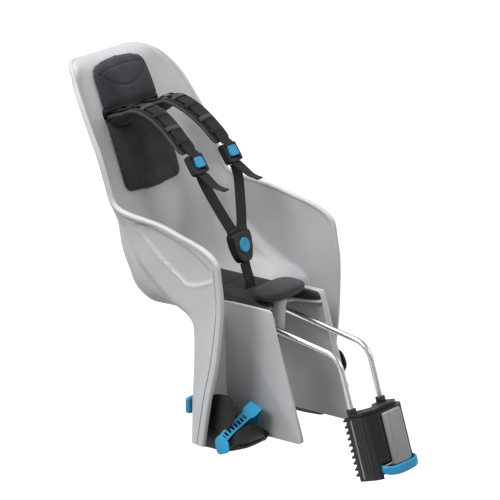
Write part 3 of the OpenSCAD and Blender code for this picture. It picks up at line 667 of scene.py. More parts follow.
def cutAway(piece, cutters):
    for k, (low, high) in enumerate(cutters):
        mesh = bpy.data.meshes.new("cutter")
        corners = [(x, y, z) for x in (low[0], high[0]) for y in (low[1], high[1]) for z in (low[2], high[2])]
        mesh.from_pydata([tuple(v * mm for v in c) for c in corners], [],
                         [(0, 1, 3, 2), (4, 6, 7, 5), (0, 4, 5, 1), (2, 3, 7, 6), (0, 2, 6, 4), (1, 5, 7, 3)])
        cutter = bpy.data.objects.new("cutter" + str(k), mesh)
        bpy.context.scene.collection.objects.link(cutter)
        modifier = piece.modifiers.new("cut" + str(k), "BOOLEAN")
        modifier.operation = "DIFFERENCE"
        modifier.solver = "EXACT"
        modifier.object = cutter
    applyModifiers(piece)
    for o in [o for o in bpy.data.objects if o.name.startswith("cutter")]:
        bpy.data.objects.remove(o)


crotchSlot = ((-264.2, -13, 190), (-259.2, 13, 230))
slotY, guardSlotY, boltX, boltY = 42, 139.5, (-338, -282), (-20, 20)
openings = [((-560, y - 32, 505), (-480, y + 32, 519)) for y in (-slotY, slotY)]               # shoulder webbing
openings += [((-272, y - 7, 47), (-246, y + 7, 169)) for y in (-guardSlotY, guardSlotY)]       # footrests
openings += [crotchSlot]
openings += [((x - 3.2, y - 3.2, 195), (x + 3.2, y + 3.2, 215)) for x in boltX for y in boltY]  # carrier bolts
cutAway(makeShell(), openings)
print("shell made")

boardOutline = ([(-262, 226), (-166, 226)] + arc(-163, 219, 7, 80, 12, 5) + arc(-103, 5, 9, 14, -88, 8)
                + [(-222, -4), (-250, -2)] + arc(-256, 4, 6, -100, -178, 4))
for name, low, high in (("legBoardLeft", 72, 76), ("legBoardRight", -76, -72)):
    board = slab(name, boardOutline, low, high, "Y")
    roundEdges(board, 1.3, 3)
    applyModifiers(board)

# rim of the board's front edge, turned a little towards the wheel
for sideName, sign in sides:
    line = smoothLine([(-250, 0, 223.5), (-175, 0, 223.5), (-164, 0, 221.5), (-158.5, 0, 213), (-140, 0, 144),
                       (-98.5, 0, 12), (-101, 0, 2)], 6)
    ring = []
    for i, p in enumerate(line):
        d = along(line, i).normalized()
        n = Vector((d.z, 0, -d.x))
        ring.append([p + n * u + Vector((0, sign * v, 0))
                     for u, v in ((-1.2, 74.0), (1.6, 74.0), (1.6, 67.5), (0.6, 66.6), (-1.2, 67.5))])
    loft("boardFlange" + sideName, ring, shellPlastic)

panHalf = [(-264, -73), (-156, -73), (-156, -66), (-162, -60), (-172, -56), (-188, -50), (-200, -46), (-205, -38),
           (-206, -20)]
panOutline = panHalf + [(x, -y) for x, y in reversed(panHalf)]
pan = slab("panFront", panOutline, 204, 208, "Z")
roundEdges(pan, 1.2, 2)
cutAway(pan, [crotchSlot])


def circleAt(x, y, z, rx, ry, n=28):
    return [Vector((x + rx * math.cos(2 * math.pi * k / n), y + ry * math.sin(2 * math.pi * k / n), z))
            for k in range(n)]


stemX = -198
loft("cushionStem", [circleAt(stemX + x, 0, z, rx, ry) for x, z, rx, ry in
                     ((-1, 166, 8, 8), (-1, 167.5, 9, 9), (0, 196, 10, 10.5), (0, 214, 11.5, 13), (0, 224, 13, 16))],
     shellPlastic)
gusset = ((-13, -9), (-13, 9), (-2, 7), (-2, -7))
loft("stemGusset", [[Vector((stemX + x, y, z)) for x, y in gusset] for z in (186, 190, 204, 207)], shellPlastic,
     smoothAngle=20)
ribOutline = [(-464, 328), (-477, 330), (-525, 470), (-517, 474), (-497, 410)]
for k, y in enumerate((-54, -18, 18, 54)):
    rib = slab("backRib" + str(k), ribOutline, y - 2, y + 2, "Y")
    roundEdges(rib, 0.9, 2)
    applyModifiers(rib)
print("shell details made")

# Shape of the shell's front face at its middle: x for a height, and the way it faces
centreCurve = [Vector((shellLook["lumbarX"] + p[0][0], 0, shellLook["panZ"] + p[0][1]))
               for p in shellSections[:legRow + 1]]
centreCurve = ([splinePoint(centreCurve, i, t / 8) for i in range(len(centreCurve) - 1) for t in range(8)]
               + centreCurve[-1:])


def backFace(z):
    for a, b in zip(centreCurve, centreCurve[1:]):
        if b.z <= z <= a.z and a.x < b.x + 30:
            t = (a.z - z) / max(a.z - b.z, 1e-6)
            d = (b - a).normalized()
            return mix(a.x, b.x, t), Vector((-d.z, 0, d.x))
    return centreCurve[0].x, Vector((1, 0, 0.2))


# A pad on the back: a crowned closed form over an outline given as [out, up]
def padOnBack(name, outline, material, thick, lean, rings=16, spokes=96):
    total = [0.0]
    for k in range(len(outline)):
        a, b = outline[k], outline[(k + 1) % len(outline)]
        total.append(total[-1] + math.hypot(b[0] - a[0], b[1] - a[1]))
    edge = []
    for s in range(spokes):
        want = total[-1] * s / spokes
        k = max(i for i in range(len(outline)) if total[i] <= want)
        a, b = outline[k], outline[(k + 1) % len(outline)]
        t = (want - total[k]) / max(total[k + 1] - total[k], 1e-6)
        edge.append((mix(a[0], b[0], t), mix(a[1], b[1], t)))
    cy, cz = 0.0, sum(p[1] for p in edge) / spokes
    front, rear = [], []
    for k in range(1, rings + 1):
        r = 1 - (1 - k / rings) ** 1.6
        ringF, ringR = [], []
        for y, z in edge:
            py, pz = cy + (y - cy) * r, cz + (z - cz) * r
            x, n = backFace(pz)
            rise = thick * (1 - r ** lean) ** 0.5 if r < 1 else 0.0
            base = Vector((x, py, pz)) + n * 0.5
            ringF.append(base + n * (3.0 + max(0, rise - 3.0) if r < 1 else 2.2))
            ringR.append(base)
        front.append(ringF)
        rear.append(ringR)
    x, n = backFace(cz)
    middle = Vector((x, cy, cz))
    points = [middle + n * (0.5 + thick)] + [p for r in front + rear[::-1] for p in r] + [middle + n * 0.5]
    m, count = spokes, 2 * rings
    faces = [(0, 1 + k, 1 + (k + 1) % m) for k in range(m)]
    faces += [(1 + i * m + k, 1 + (i + 1) * m + k, 1 + (i + 1) * m + (k + 1) % m, 1 + i * m + (k + 1) % m)
              for i in range(count - 1) for k in range(m)]
    last = 1 + count * m
    faces += [(last, last - m + (k + 1) % m, last - m + k) for k in range(m)]
    return newPiece(name, points, faces, material, "seat", 70)


# Cloth pass for a pad: the cover is blown up a little over its foam and held where it rests
def fillWithFoam(piece, held, capMm, voxelMm=4.5, pressure=4.0, frames=20):
    remesh = piece.modifiers.new("evenGrid", "REMESH")
    remesh.mode = "VOXEL"
    remesh.voxel_size = voxelMm * mm
    remesh.use_smooth_shade = True
    applyModifiers(piece)
    start = [v.co.copy() for v in piece.data.vertices]
    group = piece.vertex_groups.new(name="heldPart")
    group.add([v.index for v in piece.data.vertices if held(v.co / mm)], 1.0, "REPLACE")
    cloth = piece.modifiers.new("cover", "CLOTH")
    cloth.settings.use_pressure = True
    cloth.settings.uniform_pressure_force = pressure
    cloth.settings.effector_weights.gravity = 0
    cloth.settings.vertex_group_mass = group.name
    cloth.settings.quality = 5
    cloth.settings.tension_stiffness = 30
    cloth.settings.compression_stiffness = 30
    cloth.settings.bending_stiffness = 2
    cloth.collision_settings.use_collision = False
    scene = bpy.context.scene
    for f in range(1, frames + 1):
        scene.frame_set(f)
    depsgraph = bpy.context.evaluated_depsgraph_get()
    moved = [v.co.copy() for v in piece.evaluated_get(depsgraph).data.vertices]
    piece.modifiers.clear()
    piece.vertex_groups.clear()
    for v, a, b in zip(piece.data.vertices, start, moved):
        step = b - a
        if step.length > capMm * mm:
            step = step.normalized() * capMm * mm
        v.co = a + step
    scene.frame_set(1)
    finer = piece.modifiers.new("finer", "SUBSURF")
    finer.levels = 1
    finer.render_levels = 1
    applyModifiers(piece)
    piece.data.set_sharp_from_angle(angle=math.radians(80))


# Presses a sewn line into a pad: depth at a distance from the line
def sewLine(piece, distance, depthMm, widthMm, facing):
    mesh = piece.data
    normals = [v.normal.copy() for v in mesh.vertices]
    for v, n in zip(mesh.vertices, normals):
        if n.dot(facing) > 0.15:
            d = abs(distance(v.co / mm))
            if d < widthMm:
                v.co -= n * depthMm * mm * (1 - smoothStep(d / widthMm))
    mesh.update()


padLook = {"back": 13.0, "head": 13.0, "seatTop": 228.0, "seatSide": 71.3}


# An outline that is the same on both sides, from its right half, which ends on the middle line
def bothSides(right):
    left = [(-y, z) for y, z in reversed(right) if y]
    return [left[-1]] + right + left[:-1]


headOutline = bothSides([(72, 521), (71.5, 545), (69, 574), (66, 586), (58, 593), (38, 597), (0, 600)])
backOutline = bothSides([(73, 503), (74, 470), (74, 425), (73, 390), (68, 382), (50, 379), (0, 376)])
headPad = padOnBack("headPad", headOutline, headKnit, padLook["head"], 7)
backPad = padOnBack("backPad", backOutline, padKnit, padLook["back"], 8)


def besideBack(p):
    x, n = backFace(p.z)
    return (p - Vector((x, p.y, p.z))).dot(n) < 3.2


for pad in (headPad, backPad):
    fillWithFoam(pad, besideBack, 3.0)
forward = Vector((0.95, 0, 0.3))
sewLine(headPad, lambda p: 20 if p.z < 526 else outlineDistance(p.y, p.z, headOutline) + 9, 1.2, 2.6, forward)
sewLine(headPad, lambda p: p.z - (556 + 0.0072 * p.y ** 2) if abs(p.y) < 61 else 20, 1.7, 2.8, forward)
sewLine(backPad, lambda p: outlineDistance(p.y, p.z, backOutline) + 9, 1.3, 2.6, forward)
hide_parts("head_pad")
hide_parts("back_pad")
print("head and back pads made")


def makeSeatPad():
    top, side = padLook["seatTop"], padLook["seatSide"]
    topLine = [(-443, 262), (-436, 258), (-424, 240), (-404, 231), (-386, top + 0.5), (-340, top), (-290, top),
               (-240, top - 0.5), (-190, top - 1), (-166, top - 3.5), (-159.5, top - 9)]
    lowLine = [(-159, 209.4), (-200, 208.8), (-260, 208.8), (-320, 208.8), (-380, 208.9), (-402, 209.6), (-420, 216.5),
               (-433, 232), (-442, 250)]
    topLine = smoothLine([(x, 0, z) for x, z in topLine], 8)
    lowLine = smoothLine([(x, 0, z) for x, z in lowLine], 8)
    rings = []
    stations = [side * math.sin(math.radians(a)) for a in (-90, -84, -76, -66)]
    stations += [side * t / 12 for t in range(-10, 11)]
    stations += [side * math.sin(math.radians(a)) for a in (66, 76, 84, 90)]
    for y in stations:
        q = abs(y) / side
        inset = 8.0 * (1 - (1 - q ** 7) ** 0.5)
        frontX = -159.5 - 57 * (1 - smoothStep((abs(y) - 44) / 16))
        ring = []
        for p in topLine + lowLine:
            x = p.x
            if x > -262:
                x = -262 + (x + 262) * (frontX + 262) / 102.5
            z = p.z
            isTop = p in topLine
            z = z - inset * (1.0 if isTop else -0.15)
            x = x - (inset * 0.7 if p.x > -175 else 0)
            ring.append(Vector((x, y, max(z, 208.7) if p.x > -398 else z + 0.2)))
        rings.append(ring)
    # the darker seat knit is painted shade
    return loft("seatPad", rings, seatKnitPaintedShade, smoothAngle=70)


seatPad = makeSeatPad()
fillWithFoam(seatPad, lambda p: p.z < 214 or p.x < -420, 2.5)
up = Vector((0, 0, 1))
sewLine(seatPad, lambda p: p.x + 310, 2.4, 4.0, up)
sewLine(seatPad, lambda p: abs(p.y) - 58 if -425 < p.x < -175 else 20, 1.4, 3.0, up)
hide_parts("seat_pad")
print("seat pad made")

cushionLook = {"x": -198.0, "z": 238.6, "long": 53.5, "deep": 28.5, "high": 14.6}


def makeFrontCushion(look):
    rings = []
    for k in range(25):
        t = -1 + 2 * k / 24
        y = look["long"] * math.sin(t * math.pi / 2)
        q = abs(y) / look["long"]
        r = (1 - q ** 3.2) ** 0.5 if q < 0.9999 else 0.02
        ring = []
        for m in range(32):
            a = 2 * math.pi * m / 32
            c, s = math.cos(a), math.sin(a)
            x = look["deep"] * squarish(c, 0.72) * (0.3 + 0.7 * r)
            z = look["high"] * squarish(s, 0.8) * r
            if s > 0:
                z = z * (1.0 - 0.16 * (c + 1) / 2)
            ring.append(Vector((look["x"] + x, y, look["z"] + z)))
        rings.append(ring)
    return loft("frontCushion", rings, padKnit, smoothAngle=80)


frontCushion = makeFrontCushion(cushionLook)
fillWithFoam(frontCushion, lambda p: p.z < 226.5, 1.5, 3.5)
for facing in (Vector((0.7, 0, 0.1)), Vector((-0.7, 0, 0.1))):
    sewLine(frontCushion, lambda p: (p.z - 240) if abs(p.y) < 60 else 20, 1.3, 2.4, facing)
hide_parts("pommel_pad")
print("front cushion made")

# webbing, shoulder pads and harness


# Points given from the back's lumbar corner
def fromLumbar(points):
    return [inPart(*point) for point in points]


strapLine = fromLumbar([(-76, 42, 303), (-50, 42, 311), (-19, 42, 322), (11, 42, 316), (41, 44, 300), (68, 46, 279),
                        (88, 46, 261), (93.35, 46, 255.56)])
lowerLine = fromLumbar([(114.15, 46, 224.25), (119, 46, 215), (126, 43, 200), (136, 34, 174), (146, 24, 148),
                        (155.3, 13.1, 122.6)])
tailLine = fromLumbar([(117, 46, 224), (134, 47, 214), (150, 47, 207), (171, 46, 203)])


# A band swept along a line: width and thickness may change, and its section has rounded edges
def sweptBand(name, line, width, thick, material, lift=0.0, across=(0, 1, 0), body="seat", power=6.0, crown=0.0,
              count=28, flipped=False, wave=None):
    across = Vector(across)
    rings = []
    for i, p in enumerate(line):
        t = i / (len(line) - 1)
        d = along(line, i).normalized()
        a = (across - d * d.dot(across)).normalized()
        b = d.cross(a)
        w = width(t) if callable(width) else width
        h = thick(t) if callable(thick) else thick
        extra = lift(t) if callable(lift) else lift
        ring = []
        for k in range(count):
            angle = 2 * math.pi * k / count
            u = w / 2 * squarish(math.cos(angle), 2 / power)
            v = h / 2 * squarish(math.sin(angle), 2 / 2.6)
            v += crown * (1 - (2 * u / w) ** 2)
            if wave:
                v += wave(t, 2 * u / w)
            ring.append(p + a * u + b * (v + extra))
        rings.append(ring)
    return loft(name, mirrored(rings) if flipped else rings, material, body, 60)


# The shoulder pad narrows downwards, and has a fat root where it leaves the back
def padWidth(t):
    return mix(58, 42, smoothStep(t * 1.1)) - 10 * smoothStep((t - 0.93) / 0.07) - 4 * smoothStep((0.04 - t) / 0.04)


def padRoot(t):
    return 15.0 * smoothStep(t / 0.07) * (1 - smoothStep((t - 0.10) / 0.26))


def padThick(t):
    return 8.4 + padRoot(t) - 2.5 * smoothStep((t - 0.95) / 0.05)


# Slow waves along the pad, and a sewn line near each edge
def padWave(t, u):
    return 0.3 * math.sin(t * 34) * (1 - u * u) - 0.9 * max(0, 1 - abs(abs(u) - 0.82) / 0.07)


# The webbing stands up in small loops between its stitches
def webbingLift(t):
    rise = sum(2.4 * max(0.0, 1 - ((t - c) / 0.05) ** 2) for c in (0.33, 0.47, 0.61, 0.75))
    return 6.0 + rise * 0.6


# section of a keeper loop: sideways and up from the pad's middle
keeperHalf = [(6, 8.9), (13, 8.2), (15.5, 6.6), (16.5, 4.6)]
keeperShape = [(-u, v) for u, v in reversed(keeperHalf)] + [(0, 9.0)] + keeperHalf
foldLine = fromLumbar([(92.5, 46, 257.2), (96, 46, 254.6), (101, 46, 250.8), (106, 46, 245.0)])
for sideName, sign in sides:
    low, flipped = sideName.lower(), sign < 0
    line = smoothLine(strapLine[:7], 10)
    sleeve = sweptBand("shoulderPad" + sideName, line, padWidth, padThick, sleeveKnit, lift=lambda t: -padRoot(t) / 2,
                       power=5, crown=-0.6, count=44, flipped=flipped, wave=padWave)
    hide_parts("shoulder_sleeve_" + low)
    # bound edges of the shoulder pad
    for sign in (-1, 1):
        edge = []
        for i, p in enumerate(line):
            t = i / (len(line) - 1)
            d = along(line, i).normalized()
            a = (Vector((0, 1, 0)) - d * d.y).normalized()
            edge.append(p + a * sign * (padWidth(t) / 2 - 0.8))
        sweptBand("padBinding" + sideName + ("In" if sign < 0 else "Out"), edge, 4.0, 5.2, greyBindingAndPaintedHighlight, power=2.2,
                  count=12, flipped=flipped)
    # webbing sewn along the outside of the pad, from the bar behind the back
    full = [Vector((-539.3, 42, 506.0))] + smoothLine(strapLine, 10)
    strap = sweptBand("shoulderWebbing" + sideName, full, 25, 2.2, webbing, lift=webbingLift, flipped=flipped, power=9)
    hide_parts("shoulder_strap_" + low)
    # keeper loops sewn across the webbing; the two at 0.36 and 0.62 take the grey binding webbing as a painted
    # highlight, the others are black
    for c in (0.24, 0.36, 0.49, 0.62, 0.75):
        i = int(c * (len(full) - 1))
        p, d = full[i], (full[i + 1] - full[i - 1]).normalized()
        a = (Vector((0, 1, 0)) - d * d.y).normalized()
        b = d.cross(a)
        keeper = greyBindingAndPaintedHighlight if c in (0.36, 0.62) else webbing
        loop = [p + a * u + b * v for u, v in keeperShape]
        sweptBand("padKeeper" + sideName + str(int(c * 100)), loop, 8.5, 1.3, keeper, across=d, flipped=flipped,
                  count=12)
    lower = sweptBand("lowerWebbing" + sideName, smoothLine(lowerLine, 10), 25, 2.2, webbing, power=9, flipped=flipped)
    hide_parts("harness_strap_" + low)
    sweptBand("webbingTail" + sideName, smoothLine(tailLine, 8), lambda t: 25 - 10 * t,
              lambda t: 2.2 + 0.9 * smoothStep((t - 0.86) / 0.06), webbing, lift=3.4, power=9, flipped=flipped,
              wave=lambda t, u: 0.5 * math.sin(7 * t))
    # fold of the webbing round the adjuster's bar
    sweptBand("adjusterFold" + sideName, foldLine, 24, 1.8, webbing, lift=7.4, power=9, flipped=flipped)

# Cover between the head pad and the back pad, open where the shoulder pads pass
seamRows = [(backFace(500.5 + k)[0], 500.5 + k) for k in range(24)]
seamCols = [-72.4 + 2.9 * k for k in range(50)] + [72.4]
seamFront = [[Vector((x + 3.4, y, z)) for y in seamCols] for x, z in seamRows]
seamBack = [[Vector((x + 0.8, y, z)) for y in seamCols] for x, z in seamRows]


def besideStraps(i, j):
    return not (505.5 < seamRows[i][1] < 519 and 13 < abs((seamCols[j] + seamCols[j + 1]) / 2) < 71)


points, faces = thickSheet(seamFront, seamBack, besideStraps)
newPiece("padJoin", points, faces, padKnit, "seat", 50)

crotchLine = fromLumbar([(171.8, 0, 65.75), (177, 0, 48), (182, 0, 36), (184.3, 0, 22), (184.3, 0, 4),
                         (184.3, 0, -11.5)])
crotch = sweptBand("crotchWebbing", smoothLine(crotchLine, 8), 25, 2.2, webbing, power=9)
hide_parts("crotch_strap")
print("harness made")


# Axes of a piece on the straps, turned about Y, from its place
def turnedPlace(look, y=0.0):
    return Matrix.Translation(inPart(look["x"], y, look["z"])) @ turn(look["turn"], "Y")


def roundedOutline(length, width, r, n=6):
    out = []
    for sx, sy, a0 in ((1, 1, 0), (-1, 1, 90), (-1, -1, 180), (1, -1, 270)):
        cx, cy = sx * (length / 2 - r), sy * (width / 2 - r)
        out += [(cx + r * math.cos(math.radians(a0 + 90 * k / n)), cy + r * math.sin(math.radians(a0 + 90 * k / n)))
                for k in range(n + 1)]
    return out


# A plate with soft edges: levels are the height and inset of each ring of its outline
def platePiece(name, outline, levels, place, material, body="seat", flipped=False):
    centre = centreOf(outline)
    rings = [[place @ Vector((x, y, h)) for x, y in drawnIn(outline, centre, inset)] for h, inset in levels]
    return loft(name, mirrored(rings) if flipped else rings, material, body)


adjusterLook = {
    "x": 104.0, "z": 242.0, "turn": 56.0,
    "base": [(-6, 1.6), (-5, 0.3), (-2, 0), (0, 0), (0.8, 0.4), (1.0, 1.0)],
    "rail": [(0.4, 0), (5.5, 0), (7.2, 0.5), (8.0, 1.6)],
    "bridge": [(0.6, 0), (5.2, 0), (6.8, 0.5), (7.4, 1.4)],
    "key": [(4.3, 0.4), (5.5, 0), (10.6, 0), (11.8, 0.6), (12.3, 1.8), (12.0, 5.5), (11.7, 9)],
}
for sideName, sign in sides:
    look, low, flipped = adjusterLook, sideName.lower(), sign < 0
    place = turnedPlace(look, 46)
    shifted = place @ shift(1, 0, 0)
    base = platePiece("adjusterBase" + sideName, roundedOutline(38, 36, 7), look["base"], shifted, blackNylon,
                      flipped=flipped)
    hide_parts("adjuster_" + low)
    for end, across in (("In", -14.6), ("Out", 14.6)):
        platePiece("adjusterRail" + sideName + end, roundedOutline(35, 6.4, 2.4), look["rail"],
                   shifted @ shift(0, across, 0), blackNylon, flipped=flipped)
    platePiece("adjusterBridge" + sideName, roundedOutline(6.5, 29, 2.4), look["bridge"], shifted @ shift(14.8, 0, 0),
               blackNylon, flipped=flipped)
    key = platePiece("adjusterKey" + sideName, roundedOutline(20, 22, 5), look["key"], place, blueAcetal,
                     body="adjuster_key_" + low, flipped=flipped)
    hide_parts("adjuster_button_" + low)

buckleLook = {
    "x": 164.0, "z": 93.0, "turn": 74.0,
    "housing": [(-9, 3.5), (-8, 1.2), (-6, 0.2), (-1, 0), (-0.4, 0.7), (0.2, 0), (5, 0.2), (7.6, 1.0), (9.0, 3.2),
                (9.2, 6.0), (9.2, 9.0)],
    "key": [(2.3, 0.3), (4.0, 0), (9.6, 0), (10.8, 0.7), (11.3, 2.0), (10.9, 6.0), (10.2, 10.0), (9.9, 13.0)],
}
bucklePlace = turnedPlace(buckleLook)
buckleHalf = [(-28, 14), (-24, 23), (-14, 25), (2, 23.5), (16, 19), (25, 14), (28, 8)]
buckleWhole = [(-28, -14)] + buckleHalf + [(x, -y) for x, y in reversed(buckleHalf)]
buckleOutline = smoothLine([(x, y, 0) for x, y in buckleWhole], 4)[:-1]
buckle = platePiece("buckleHousing", [(p.x, p.y) for p in buckleOutline], buckleLook["housing"], bucklePlace,
                    blackNylon)
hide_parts("buckle_body")
keyCircle = [(p.x, p.y) for p in circleAt(0, 0, 0, 13.5, 13.5, 40)]
keyPlace = bucklePlace @ shift(-2, 0, 0)


def ringBody(name, inner, outer, low, high, place, material, body="seat", n=48):
    profile = [(inner, low), (outer, low), (outer, high - 0.8), (outer - 0.8, high), (inner + 0.6, high),
               (inner, high - 0.6)]
    rings = []
    for k in range(n):
        a = 2 * math.pi * k / n
        rings.append([place @ Vector((r * math.cos(a), r * math.sin(a), h)) for r, h in profile])
    m = len(profile)
    points = [p for r in rings for p in r]
    faces = [(i * m + k, i * m + (k + 1) % m, (i + 1) % n * m + (k + 1) % m, (i + 1) % n * m + k)
             for i in range(n) for k in range(m)]
    return newPiece(name, points, faces, material, body, 50)


ringBody("buckleRing", 13.8, 16.6, 8.0, 10.0, keyPlace, blackNylon)
key = platePiece("buckleKey", keyCircle, buckleLook["key"], keyPlace, blueAcetal, body="buckle_key")
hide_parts("buckle_button")
for sign in (-1, 1):
    platePiece("buckleTongue" + ("Left" if sign > 0 else "Right"), roundedOutline(12, 24, 3),
               [(-3.2, 0.3), (-2.6, 0), (2.0, 0), (2.6, 0.4)],
               bucklePlace @ shift(-29, sign * 12.6, 0) @ turn(-sign * 14, "Z"), blackNylon)
print("buckle and adjusters made")

# foot straps, footrests and releases

footLook = {"strapWidth": 24.0, "ladderFrom": 0.51, "ladderTo": 0.79}
# centre of the strap, from the inner wall over the foot to the outer side
footPath = [
    (-193, 87.6, -2), (-192, 87.6, 18), (-188, 88.5, 38), (-179, 93, 54), (-171, 102, 60), (-171, 110, 56.5),
    (-174, 120, 50.5), (-177, 131, 43), (-181, 142, 35.5), (-186, 153, 27.5), (-191, 162.5, 18), (-193.5, 168.5, 9.5),
    (-190, 171.5, -1), (-186, 173.5, -11)]


def makeFootStrap(name, flipped):
    look = footLook
    line = smoothLine(footPath, 8)
    n = len(line) - 1
    front, back = [], []
    cols = (-1, -0.86, -0.56, -0.52, -0.2, 0.2, 0.52, 0.56, 0.86, 1)
    for i, p in enumerate(line):
        t = i / n
        d = along(line, i).normalized()
        # the band turns its face outward as it comes over the foot
        lean = 0.75 * smoothStep((t - 0.2) / 0.2)
        a = Vector((1, 0, -lean))
        a = (a - d * a.dot(d)).normalized()
        b = d.cross(a)
        # paddles at both ends, a narrow ladder between them
        w = look["strapWidth"] * (0.72 + 0.34 * smoothStep((0.50 - t) / 0.05) + 0.30 * smoothStep((t - 0.80) / 0.05))
        w *= (1 - max(0.0, (0.03 - t) / 0.03) ** 2 * 0.35) * (1 - max(0.0, (t - 0.94) / 0.06) ** 2 * 0.5)
        rise = 1.5 + (0.7 if look["ladderFrom"] < t < look["ladderTo"] and i % 4 in (0, 3) else 0.0)
        front.append([p + a * (u * w / 2) + b * (rise - 0.5 * abs(u) ** 6) for u in cols])
        back.append([p + a * (u * w / 2) - b * (1.5 - 0.5 * abs(u) ** 6) for u in cols])
    if flipped:
        front, back = mirrored(front), mirrored(back)

    def keep(i, j):
        return not (look["ladderFrom"] < (i + 0.5) / n < look["ladderTo"] and i % 4 in (1, 2) and 2 < j < 6)

    points, faces = thickSheet(front, back, keep)
    return newPiece(name, points, faces, blueSilicone, "foot_right" if flipped else "foot_left", 50)


# A wall cut to an outline in x and z, with rounded edges, between two distances from the middle plane
def lobeWall(name, outline, near, far, sign, soft, body):
    line = [(p.x, p.z) for p in smoothLine([(x, 0, z) for x, z in outline + outline[:1]], 5)[:-1]]
    centre = centreOf(line)
    levels = ((near, 0.7), (near + soft * 0.3, 0.2), (near + soft, 0), (far - soft, 0), (far - soft * 0.3, 0.25),
              (far, 0.9))
    rings = [[Vector((x, sign * y, z)) for x, z in drawnIn(line, centre, soft * inset)] for y, inset in levels]
    return loft(name, rings, blackSole, body=body, smoothAngle=50)


footShape = {
    "centre": (-204, 119.5),
    # x and z of each wall's edge
    "sole": [(-250, 82), (-246, 81), (-176, 82), (-163, 88), (-157, 102), (-157, 137), (-163, 151), (-176, 157),
             (-246, 158), (-250, 157)],
    "outer": [(-247, -10), (-205, -12), (-188, -10), (-192, 2), (-197, 14), (-189, 27), (-178, 46), (-173, 62),
              (-180, 79), (-190, 86.5), (-207, 88.5), (-226, 82), (-238, 70), (-245, 48), (-247, 20)],
    "inner": [(-247, -13), (-178, -12), (-164, -4), (-160, 3), (-163, 8), (-180, 13), (-208, 20), (-238, 22),
              (-246, 14)],
    "toeWall": [(-216, 157.2, -11), (-200, 157.4, -4), (-188, 157.0, 8), (-176, 155.4, 22), (-165, 149.5, 33),
                (-158.6, 137, 37), (-158, 121, 33), (-158.4, 106, 25), (-161, 96, 15), (-167, 88, 7), (-176, 83.6, 3),
                (-192, 82, -4)],
}


# The sole turns up towards the toes
def toeRise(x):
    return 11.0 * smoothStep((x + 200) / 44)


def makeFootrest(sideName, low, sign):
    body = "foot_" + low
    look = footShape
    outline = [(p.x, p.y) for p in smoothLine([(x, y, 0) for x, y in look["sole"] + look["sole"][:1]], 4)[:-1]]
    before = [p[0] for p in outline]
    sole = []
    for z, inset in ((-16, 5.5), (-15.2, 3.0), (-13.5, 1.0), (-11, 0), (-9, 0.5), (-8.4, 1.8)):
        ring = drawnIn(outline, look["centre"], inset)
        sole.append([Vector((x, sign * y, z + toeRise(x0))) for (x, y), x0 in zip(ring, before)])
    base = loft("footSole" + sideName, sole, blackSole, body=body, smoothAngle=50)
    heel = []
    for x, inset in ((-254, 1.5), (-253, 0.3), (-248, 0.3), (-247, 1.5)):
        arch = [(squarish(math.cos(math.radians(a)), 0.5), 30 + (29 - inset) * math.sin(math.radians(a)) ** 0.8)
                for a in range(12, 169, 12)]
        edge = [(-1, -15), (1, -15), (1, 30)] + arch + [(-1, 30)]
        heel.append([Vector((x, sign * (119.5 + u * (38.6 - inset)), z)) for u, z in edge])
    loft("footHeel" + sideName, heel, blackSole, body=body, smoothAngle=40)
    lobeWall("footOuterLobe" + sideName, look["outer"], 152.5, 158.9, sign, 2.4, body)
    lobeWall("footInnerWall" + sideName, look["inner"], 80.6, 85.6, sign, 1.8, body)
    # wall round the toes, highest at the outer corner
    top = smoothLine(look["toeWall"], 6)
    rowsF, rowsB = [], []
    for i, p in enumerate(top):
        d = along(top, i)
        out = Vector((-d.y, d.x, 0)).normalized()
        out = out if out.dot(Vector((p.x + 204, p.y - 119.5, 0))) > 0 else -out
        out.y, foot = sign * out.y, Vector((p.x, sign * p.y, 0))
        heights = [mix(-14.5 + toeRise(p.x), p.z, k / 7) for k in range(8)]
        bulge = [-3.4, -0.6, 1.0, 2.0, 2.2, 1.8, 1.0, -0.6]
        wall = [4.2] * 7 + [2.2]
        up = [Vector((0, 0, h)) for h in heights]
        rowsF.append([foot + out * g + h for h, g in zip(up, bulge)])
        rowsB.append([foot + out * (g - w) + h for h, g, w in zip(up, bulge, wall)])
    points, faces = thickSheet(rowsF, rowsB, lambda i, j: True)
    toe = newPiece("footToeWall" + sideName, points, faces, blackSole, body, 60)
    roundEdges(toe, 1.0, 2, 50)
    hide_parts("footrest_" + low)
    # bars across the sole
    for k in range(6):
        x0, bar = -241 + 11.5 * k, ((92, -8.8), (146, -8.8), (145.4, -7.0), (92.6, -7.0))
        loft("soleBar" + sideName + str(k), [[Vector((x, sign * y, z + toeRise(x))) for y, z in bar]
                                             for x in (x0, x0 + 5.5)], blackSole, body=body, smoothAngle=20)
    # raised rim round the outer lobe
    lobe = smoothLine([(x, 0, z) for x, z in look["outer"][6:14]], 6)
    rim = [Vector((p.x, sign * 159.2, p.z)) + (Vector((-205, 0, 30)) - Vector((p.x, 0, p.z))).normalized() * 4.2
           for p in lobe]
    sweptBand("lobeRim" + sideName, rim, 2.6, 2.2, blackSole, body=body, across=(0, 1, 0), power=2.4, count=10)
    # stem that runs in the guard's slot, into the blue catch
    stemY = 139.5
    stem = [[Vector((x, sign * (stemY + v), z)) for v, z in ((-6.4, 49.4), (6.4, 49.4), (6.4, 66.6), (-6.4, 66.6))]
            for x in (-271.4, -250)]
    loft("footStem" + sideName, stem, blackSole, body=body, smoothAngle=20)


for sideName, sign in sides:
    low = sideName.lower()
    strap = makeFootStrap("footStrap" + sideName, sign < 0)
    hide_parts("foot_strap_" + low)
    makeFootrest(sideName, low, sign)
print("foot straps made")

for nodeName, width in (("bracket_body", 2.0), ("bracket_rear_jaw", 0.7),
                        ("carrier_block", 1.5), ("carrier_plate", 1.5), ("strap_anchor_left", 1.2),
                        ("strap_anchor_right", 1.2), ("crotch_anchor", 1.0)):
    roundEdges(nodes[nodeName], width, 3, 30)
print("edges softened")
